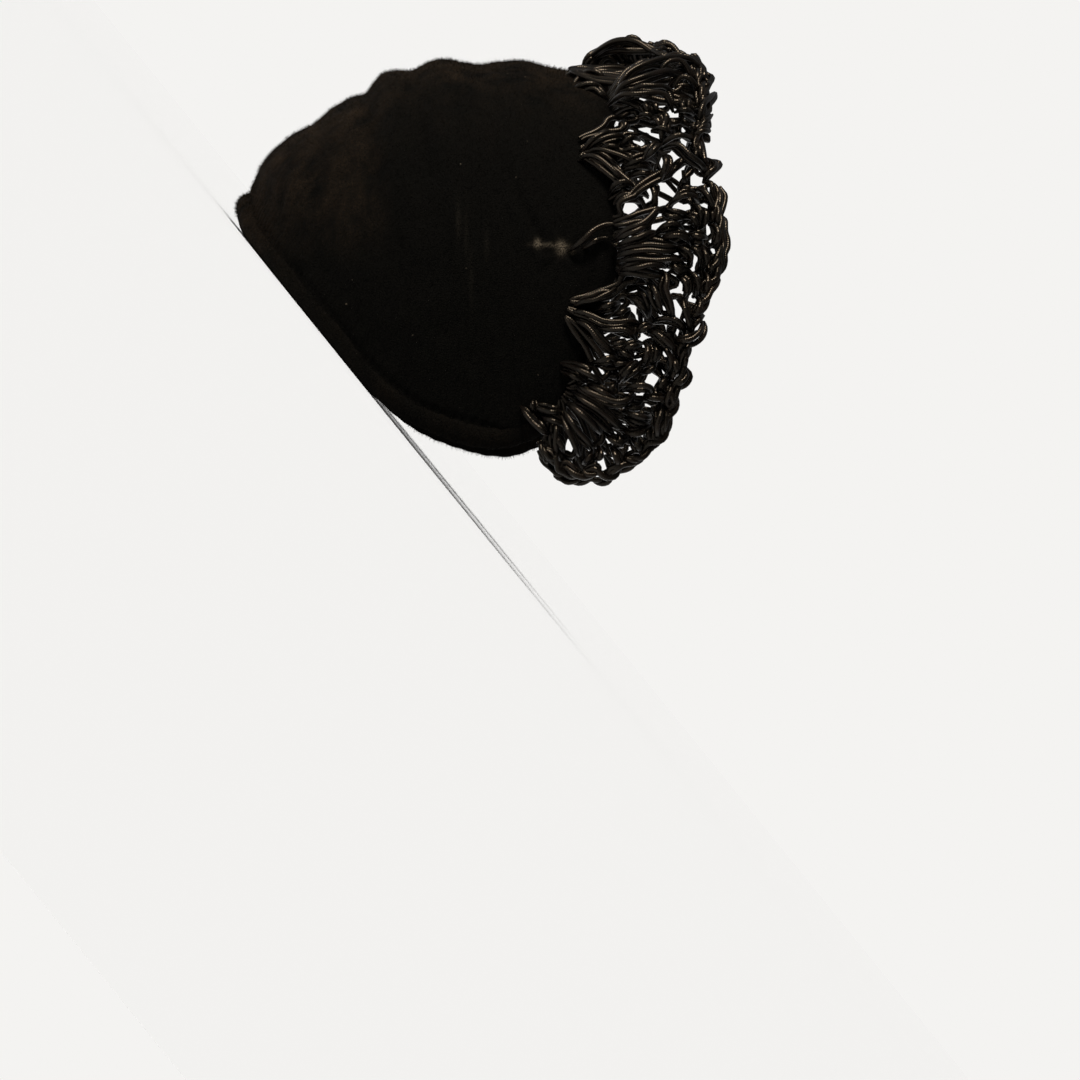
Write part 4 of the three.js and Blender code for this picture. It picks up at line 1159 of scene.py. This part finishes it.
def relief_at(along, forward, small):
    """How high the trim stands over the crown's surface carried on."""
    seat = CORD_DIAMETER / 2 + CLEARANCE
    if small:
        return seat + SMALL_LIFT * np.clip((forward + SMALL_INSET) / SMALL_REACH, 0, 1)
    shells = LARGE_SHELLS.values()
    lift = np.interp(np.abs(along) / HALF_EDGE, [s.at for s in shells], [s.lift for s in shells])
    return seat + lift * SHELL_LIFT * dome_at((forward + 3) / SHELL_REACH)


def on_trim(seen, raised, start, small):
    """Finds the trim's points by their places seen from the side and their height over its relief."""
    found = np.tile([start, 6.0, 5.0], (len(seen), 1))
    rounds, nudge, damping, longest, weight = 10, 0.2, 0.02, 6, 0.15

    def miss(spots):
        """How far points are from where they should be seen, and from their height."""
        along, forward, off = spots.T
        away = seen_at(trim_point(along, forward, off)) - seen
        rise = relief_at(along, forward, small) + raised
        return np.hstack([away, weight * (off - rise)[:, None]])

    for _ in range(rounds):
        here = miss(found)
        slopes = np.stack([(miss(found + step) - here) / nudge for step in np.eye(3) * nudge], -1)
        turned = slopes.transpose(0, 2, 1)
        change = np.linalg.solve(turned @ slopes + damping * np.eye(3), turned @ here[..., None])[..., 0]
        found -= np.clip(change, -longest, longest)
    found[:, 2] = np.maximum(found[:, 2], CORD_DIAMETER / 2 + CLEARANCE)
    return trim_point(*found.T)


def add_strands(cords, key, start, small=False):
    """Adds the strands that show on a piece, each with the other side of its loop under it."""
    rand = cords.random
    lines, heights, thicks, borders, lower = [], [], [], [], []

    def plan(seen, raised, thick):
        """Keeps a strand for the one search that places them all."""
        lines.append(seen)
        heights.append(raised)
        thicks.append(thick)

    for layer, *flat in STRANDS[key]:
        line = smooth_line(np.array(flat).reshape(-1, 2), 8)
        length = np.linalg.norm(np.diff(line, axis=0), axis=1).sum()
        line = along_line(line, np.linspace(0, 1, max(4, round(length / STRAND_STEP) + 1)))
        way = np.gradient(line, axis=0)
        way /= np.linalg.norm(way, axis=-1, keepdims=True)
        beside = np.stack([-way[:, 1], way[:, 0]], -1)
        t = np.linspace(0, 1, len(line))
        if layer == 0:
            turn = 2 * math.pi * t * length / BORDER_TURN
            for side in (1, -1):
                seen = line + beside * (side * BORDER_HALF * np.cos(turn) + BORDER_INSETS[key])[:, None]
                plan(seen, side * BORDER_RISE * np.sin(turn), rand.uniform(0.92, 1.0))
            borders.append(len(lines))
            plan(line + beside * (BORDER_INSETS[key] - BORDER_HALF), 0 * t, 1.0)
            continue
        arch = np.sin(math.pi * t)
        height = layer * (STRAND_SEAT + STRAND_ARCH * arch)
        plan(line, height, rand.uniform(0.79, 0.93))
        if key != "tack":
            shift, sink = rand.uniform(1.2, 1.9) * rand.choice((-1, 1)), rand.uniform(2.2, 3.4)
            lower.append(len(lines))
            seen = line + beside * (shift * (0.3 + 0.7 * arch))[:, None]
            plan(seen, height - sink * (0.4 + 0.6 * arch), rand.uniform(0.76, 0.88))
    places = on_trim(np.vstack(lines), np.concatenate(heights), start, small)
    ends = np.cumsum([len(line) for line in lines])
    for number, (route, thick) in enumerate(zip(np.split(places, ends[:-1]), thicks)):
        if number in borders:
            cords.add_links(route, BORDER_TURN / 2, BORDER_LINK)
            continue
        for pair, depth in (([0, -1], END_DEPTH), ([1, -2], END_DEPTH * NEXT_DEPTH)):
            route[pair] -= normal_at(route[pair]) * depth
        cords.add(route, thick, number not in lower)


def hairpin(spot, rand, q, shares, root_half, end_half, bow, curl, high, drop):
    """A long loop: out along one side, round its end and back, bowed and curled to one side."""
    last = shares[-1]
    way_out, way_back = [], []
    for share in shares:
        t = (share - shares[0]) / (last - shares[0])
        half = root_half + (end_half - root_half) * t ** 0.8
        shift = bow * math.sin(math.pi * t) + curl * t * t
        wave = math.sin(math.pi * min(t, 1))
        jitter = rand.normal(0, STRAY, 4)
        way_out.append(spot(q, share, shift - half + jitter[0], high * wave + jitter[1]))
        way_back.append(spot(q, share, shift + half + jitter[2], (high + drop) * wave + jitter[3]))
    tip = spot(q, last + 0.045, curl, 0.6)
    return way_out + [tip] + way_back[::-1]


def large_shell(key, seed):
    """A big fan: loops from its root to an inner chain, posts to its border, and what shows on top."""
    shell = LARGE_SHELLS[key]
    cords = Cords(seed)
    rand = cords.random
    centre = shell.at * HALF_EDGE
    sunk = CENTRE_LAYER if key == "centre" else UNDER_LAYER

    def spot(q, share, sideways=0.0, raised=0.0):
        """A place on the fan: q from its first (0) to its last strand (1), share of the reach."""
        degrees = -shell.up + (shell.up + shell.down) * q
        angle = math.radians(degrees)
        to_end = degrees / shell.up if degrees < 0 else degrees / shell.down
        end_reach = shell.first_reach if degrees < 0 else shell.last_reach
        full = SHELL_REACH * (shell.reach + (end_reach - shell.reach) * to_end * to_end)
        base = shell.root * (0.6 + 0.4 * smooth_step(share, 0.0, 0.25))
        along = (q - 0.5) * base + full * share * math.sin(angle) + sideways * math.cos(angle)
        forward = full * share * math.cos(angle) - shell.back * SHELL_REACH - sideways * math.sin(angle)
        dome = dome_at(share)
        if key == "centre":
            dome *= smooth_step(share, -0.25, 0.35)
        low = CORD_DIAMETER / 2 + CLEARANCE
        high = low + shell.lift * SHELL_LIFT * dome + raised - sunk
        return trim_point(centre + along, forward, max(low, high))

    # The centre's loops start a little way out, so that the velvet shows between their roots
    first = 0.05 if key == "centre" else 0.0
    for i in range(shell.loops):
        q = (i + rand.uniform(-0.12, 0.12)) / (shell.loops - 1)
        cords.add_under(hairpin(
            spot, rand, q, (first, 0.08, 0.18, 0.3, 0.45, INNER_ROW + rand.uniform(-0.03, 0.04)),
            root_half=0.5, end_half=rand.uniform(1.3, 2.1), bow=rand.uniform(-1.8, 1.8),
            curl=rand.uniform(-1.2, 1.8), high=rand.uniform(-1.6, 1.2), drop=rand.uniform(-1.6, 0.6)),
            thick=rand.uniform(0.9, 1.0))
    for i in range(shell.posts):
        q = (i + rand.uniform(-0.3, 0.3)) / (shell.posts - 1)
        cords.add_under(hairpin(
            spot, rand, q, (INNER_ROW - 0.04, 0.7, 0.8, 0.87 + rand.uniform(-0.03, 0.03)),
            root_half=rand.uniform(0.9, 1.6), end_half=rand.uniform(-1.6, 1.6),
            bow=rand.uniform(-1.6, 1.6), curl=rand.uniform(-1.6, 1.6), high=rand.uniform(-1.0, 1.6),
            drop=rand.uniform(-1.6, 1.6)), thick=0.95)
    if key == "centre":
        chain = smooth_line([spot(q, INNER_ROW) for q in np.linspace(0, 1, 9)], 12)
        cords.add_links(chain, CHAIN_SPACING, 0.9)
        border = []
        bumps = round((shell.up + shell.down) / RIM_BUMP)
        for step in range(4 * bumps + 1):
            q = -0.05 + 1.1 * step / (4 * bumps)
            share = 0.915 + 0.055 * abs(math.sin(math.pi * step / 4))
            border.append(spot(q, share, 0, rand.uniform(-0.4, 0.4)))
        cords.add(border, 1.05)
        cords.add_links(smooth_line(border, 6), RIM_SPACING, 0.9)
        half = Cords(seed + 1)
        add_strands(half, key, 5.0)
        cords.take(half)
        half.mirror()
        cords.take(half)
    else:
        add_strands(cords, key, centre)
    if key == "2":
        add_strands(cords, "tack", centre)
    return cords


def small_shell(key, seed):
    """A small fan sewn on the velvet between two big ones."""
    at, loops = SMALL_SHELLS[key]
    cords = Cords(seed)
    rand = cords.random
    centre = at * HALF_EDGE

    def spot(q, share, sideways=0.0, raised=0.0):
        """A place on the fan, by the same measures as on a big one."""
        angle = math.radians(SMALL_SPREAD) * (2 * q - 1)
        reach = SMALL_REACH * share
        along = (q - 0.5) * SMALL_BASE * 2 + reach * math.sin(angle) + sideways * math.cos(angle)
        forward = reach * math.cos(angle) - SMALL_INSET - sideways * math.sin(angle)
        off = CORD_DIAMETER / 2 + CLEARANCE + max(SMALL_LIFT * share + raised - 1.2, 0)
        return trim_point(centre + along, forward, off)

    for i in range(loops):
        q = (i + rand.uniform(-0.12, 0.12)) / (loops - 1)
        cords.add_under(hairpin(
            spot, rand, q, (-0.02, 0.08, 0.25, 0.48, 0.72, 0.9), root_half=0.3,
            end_half=rand.uniform(1.2, 1.9), bow=rand.uniform(-1.4, 1.4), curl=rand.uniform(-1.5, 1.5),
            high=rand.uniform(0.0, 0.8), drop=rand.uniform(-1.0, 0.2)), thick=rand.uniform(0.88, 1.0))
    add_strands(cords, "small_" + key, centre, small=True)
    return cords


def crocheted_piece(name, cords, trees, settings, material, node):
    """Makes one piece of a shell's cords and links."""
    swept = mesh_object(name, to_frame(cords.points), [], cords.edges)
    give_attribute(swept.data, "thick", np.array(cords.thick) * MM)
    grow(swept, trees["cord"], {"Step": settings.step, "Sides": settings.sides, "Material": material})
    if cords.links:
        spots = np.array(cords.links)
        linked = mesh_object(name + "_links", to_frame(spots), [])
        give_attribute(linked.data, "ahead", turn_to_frame(cords.ahead), "FLOAT_VECTOR")
        give_attribute(linked.data, "out", turn_to_frame(normal_at(spots)), "FLOAT_VECTOR")
        give_attribute(linked.data, "size", cords.size)
        grow(linked, trees["links"], {
            "Length": settings.link_length, "Width": settings.link_width, "Twist": settings.link_twist,
            "Cord": CORD_DIAMETER * MM, "Turn": settings.link_turn, "Seed": LINK_SEED, "Material": material})
        with bpy.context.temp_override(active_object=swept, selected_editable_objects=[swept, linked]):
            bpy.ops.object.join()
    finish_piece(swept, [node])


# Settings that a user would change

class HatVelvetSettings(bpy.types.PropertyGroup):
    dark: FloatVectorProperty(
        name="Pile", description="Colour of the standing pile", size=4, subtype="COLOR",
        default=linear("#030302"))
    # The crushed pile's colour also paints the sheen in the band along the crest
    worn: FloatVectorProperty(
        name="Crushed pile", description="Colour where the pile is crushed", size=4, subtype="COLOR",
        default=linear("#382b1e"))
    shine: FloatProperty(
        name="Pile shine", description="How much light the tips of the pile catch", default=0.015,
        subtype="FACTOR")
    slack: FloatProperty(
        name="Slack", description="How much the velvet puckers over its foundation", default=1.0,
        subtype="FACTOR")
    unevenness: FloatProperty(
        name="Unevenness of the roll", description="How much the roll swells and thins", default=0.12,
        subtype="FACTOR")
    hair_length: FloatProperty(
        name="Hair", description="Length of the pile's longest hairs", default=0.0015, unit="LENGTH")
    hair_thickness: FloatProperty(
        name="Hair thickness", description="Radius of a hair at its foot", default=0.00007, unit="LENGTH")
    hair_density: FloatProperty(
        name="Hairs", description="Hairs on a square metre", default=1.3e6)


class HatCordSettings(bpy.types.PropertyGroup):
    dark: FloatVectorProperty(
        name="Cord", description="Colour of the gimp", size=4, subtype="COLOR", default=linear("#050403"))
    worn: FloatVectorProperty(
        name="Faded cord", description="Colour where the silk has faded", size=4, subtype="COLOR",
        default=linear("#130d09"))
    wrap: FloatProperty(
        name="Winding", description="Width of one turn of the winding", default=0.0007, unit="LENGTH")
    step: FloatProperty(
        name="Step", description="Length of one step of a swept cord", default=0.0011, unit="LENGTH")
    sides: IntProperty(name="Sides", description="Sides of a swept cord", default=8)
    link_length: FloatProperty(
        name="Link", description="Length of a crochet link", default=0.0072, unit="LENGTH")
    link_width: FloatProperty(
        name="Link width", description="Width of a crochet link", default=0.0046, unit="LENGTH")
    link_twist: FloatProperty(
        name="Twist", description="How far a link's corners rise and fall", default=0.0016, unit="LENGTH")
    link_turn: FloatProperty(
        name="Turn", description="How far links are turned to either side", default=0.75, unit="ROTATION")


class HatStageSettings(bpy.types.PropertyGroup):
    paper: FloatVectorProperty(
        name="Backdrop", description="Colour of floor and backdrop", size=4, subtype="COLOR",
        default=linear("#f4f3f1"))
    key: FloatProperty(
        name="Key light", description="Strength of the soft sun", default=3.06)
    gloss: FloatProperty(
        name="Gloss light", description="Power of the small light", default=36.0, unit="POWER")
    air: FloatProperty(
        name="Studio air", description="Strength of the light from all round", default=0.15)
    distance: FloatProperty(
        name="Camera distance", description="From the camera to the middle of the hat",
        default=CAMERA_DISTANCE * MM, unit="LENGTH")
    view_width: FloatProperty(
        name="View", description="Width of the view at the middle of the hat", default=0.3456, unit="LENGTH")


class HAT_OT_crown(bpy.types.Operator):
    """Makes the velvet crown with its folds, puckers and turned front edge"""
    bl_idname = "hat.crown"
    bl_label = "Velvet Crown"

    def execute(self, context):
        settings = context.scene.hat_velvet
        material = silk_velvet("black_silk_velvet", settings)
        piece = face_outwards(velvet_crown(settings, material))
        finish_piece(piece, ["crown"])
        return {"FINISHED"}


class HAT_OT_binding(bpy.types.Operator):
    """Makes the velvet roll along the back and lower edges"""
    bl_idname = "hat.binding"
    bl_label = "Rolled Binding"

    def execute(self, context):
        settings = context.scene.hat_velvet
        material = silk_velvet("black_velvet_roll", settings)
        piece = face_outwards(rolled_binding(settings, material))
        finish_piece(piece, ["edge_binding"])
        return {"FINISHED"}


class HAT_OT_pile(bpy.types.Operator):
    """Plants the longest hairs of the pile on the crown and on the roll"""
    bl_idname = "hat.pile"
    bl_label = "Velvet Pile"

    def execute(self, context):
        settings = context.scene.hat_velvet
        material = silk_velvet("velvet_pile_hairs", settings)
        tree = pile_tree()
        for name, density in (("velvet_crown", 1.0), ("rolled_binding", ROLL_PILE)):
            ground = bpy.data.objects[name]
            piece = bpy.data.objects.new(name + "_pile", ground.data.copy())
            context.scene.collection.objects.link(piece)
            grow(piece, tree, {
                "Density": settings.hair_density * density, "Length": settings.hair_length,
                "Thickness": settings.hair_thickness, "Lean": PILE_LEAN, "Seed": PILE_SEED,
                "Material": material})
            finish_piece(piece)
        return {"FINISHED"}


class HAT_OT_shells(bpy.types.Operator):
    """Crochets the large and the small shells of the front trim"""
    bl_idname = "hat.shells"
    bl_label = "Crocheted Shells"

    def execute(self, context):
        settings = context.scene.hat_cord
        material = satin_gimp("black_silk_gimp", settings)
        trees = {"cord": cord_tree(), "links": link_tree()}
        groups = (("large", LARGE_SHELLS, large_shell, 20), ("small", SMALL_SHELLS, small_shell, 60))
        for prefix, table, make, seed in groups:
            for number, key in enumerate(table):
                for side in ((None,) if key == "centre" else ("right", "left")):
                    node = f"{prefix}_shell_{side}_{key}" if side else f"{prefix}_shell_{key}"
                    cords = make(key, seed + number)
                    if side == "left":
                        cords.mirror()
                    cords.open_gaps()
                    crocheted_piece("crocheted_" + node, cords, trees, settings, material, node)
        return {"FINISHED"}


# Stage

def studio_lamp(name, kind, place, power):
    """A light at a place, aimed at the middle of the hat."""
    lamp = bpy.data.objects.new(name, bpy.data.lights.new(name, kind))
    lamp.data.energy = power
    lamp.location = place
    lamp.rotation_euler = (Vector(HAT_MIDDLE) - Vector(place)).to_track_quat("-Z", "Y").to_euler()
    bpy.context.scene.collection.objects.link(lamp)
    return lamp


def studio_floor(material):
    """A wide round floor, pale and level."""
    reach, sides = 8.0, 96
    rim = [(reach * math.cos(2 * math.pi * k / sides), reach * math.sin(2 * math.pi * k / sides), 0.0)
           for k in range(sides)]
    floor = mesh_object("studio_floor", rim, [tuple(range(sides))])
    floor.data.materials.append(material)


def studio_air(strength, colour):
    """Even light from all round, behind which the backdrop shows as pale as the floor."""
    world = bpy.data.worlds.new("studio_air")
    world.use_nodes = True
    tree = world.node_tree
    air = tree.nodes["Background"]
    air.inputs["Strength"].default_value = strength
    paper = add_node(tree, "ShaderNodeBackground", inputs={"Color": colour, "Strength": 1.0})
    ray = add_node(tree, "ShaderNodeLightPath")
    seen = add_node(tree, "ShaderNodeMixShader", inputs={
        0: ray.outputs["Is Camera Ray"], 1: air, 2: paper})
    tree.links.new(seen.outputs[0], tree.nodes["World Output"].inputs["Surface"])
    air.inputs["Color"].default_value = (1, 1, 1, 1)
    return world


class HAT_OT_stage(bpy.types.Operator):
    """Sets the pale floor, the soft lights and the camera"""
    bl_idname = "hat.stage"
    bl_label = "Stage"

    def execute(self, context):
        scene = context.scene
        settings = scene.hat_stage
        studio_floor(plain_paper("backdrop_paper", settings.paper))
        scene.world = studio_air(settings.air, settings.paper)
        scene.view_settings.view_transform = "Standard"
        key = studio_lamp("key_light", "SUN", KEY_PLACE, settings.key)
        key.data.angle = math.radians(KEY_ANGLE)
        key.visible_glossy = False
        # The small light is for the cords' gloss alone, and leaves the floor even
        gloss = studio_lamp("gloss_light", "AREA", GLOSS_PLACE, settings.gloss)
        gloss.data.shape = "DISK"
        gloss.data.size = GLOSS_SIZE
        gloss.data.color = linear("#fff0dd")[:3]
        gloss.visible_diffuse = False
        lens = bpy.data.cameras.new("camera")
        lens.sensor_width = 36.0
        lens.lens = lens.sensor_width * settings.distance / settings.view_width
        camera = bpy.data.objects.new("camera", lens)
        scene.collection.objects.link(camera)
        # It looks level from the wearer's right, rolled so that the hat stands as it is worn
        lean = math.radians(VIEW_LEAN)
        right = (0, -math.cos(lean), math.sin(lean))
        up = (0, math.sin(lean), math.cos(lean))
        turn = Matrix((right, up, (-1, 0, 0))).transposed()
        place = Vector((-settings.distance, (MIDDLE_FORWARD - SIGHT[0]) * MM, SIGHT[1] * MM))
        camera.matrix_world = Matrix.Translation(place) @ turn.to_4x4()
        scene.camera = camera
        return {"FINISHED"}


class HAT_PT_panel(bpy.types.Panel):
    """Lists the steps that make the hat, with their settings"""
    bl_idname = "HAT_PT_panel"
    bl_label = "Headband Hat"
    bl_space_type = "VIEW_3D"
    bl_region_type = "UI"
    bl_category = "Hat"

    def draw(self, context):
        for group in ("hat_velvet", "hat_cord", "hat_stage"):
            settings = getattr(context.scene, group)
            box = self.layout.box()
            for name in settings.__annotations__:
                box.prop(settings, name)
        for operator in OPERATORS:
            self.layout.operator(operator.bl_idname)


SETTINGS = {"hat_velvet": HatVelvetSettings, "hat_cord": HatCordSettings, "hat_stage": HatStageSettings}
OPERATORS = (HAT_OT_crown, HAT_OT_binding, HAT_OT_pile, HAT_OT_shells, HAT_OT_stage)


def register():
    for cls in (*SETTINGS.values(), *OPERATORS, HAT_PT_panel):
        bpy.utils.register_class(cls)
    for name, cls in SETTINGS.items():
        setattr(bpy.types.Scene, name, PointerProperty(type=cls))


def unregister():
    for name in SETTINGS:
        delattr(bpy.types.Scene, name)
    for cls in reversed((*SETTINGS.values(), *OPERATORS, HAT_PT_panel)):
        bpy.utils.unregister_class(cls)


def main():
    """Registers the add-on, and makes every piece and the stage."""
    register()
    for other in [o for o in bpy.data.objects if o.name in ("Cube", "Light", "Camera")]:
        bpy.data.objects.remove(other)
    bpy.ops.hat.crown()
    bpy.ops.hat.binding()
    bpy.ops.hat.pile()
    bpy.ops.hat.shells()
    bpy.ops.hat.stage()


if __name__ == "__main__":
    main()
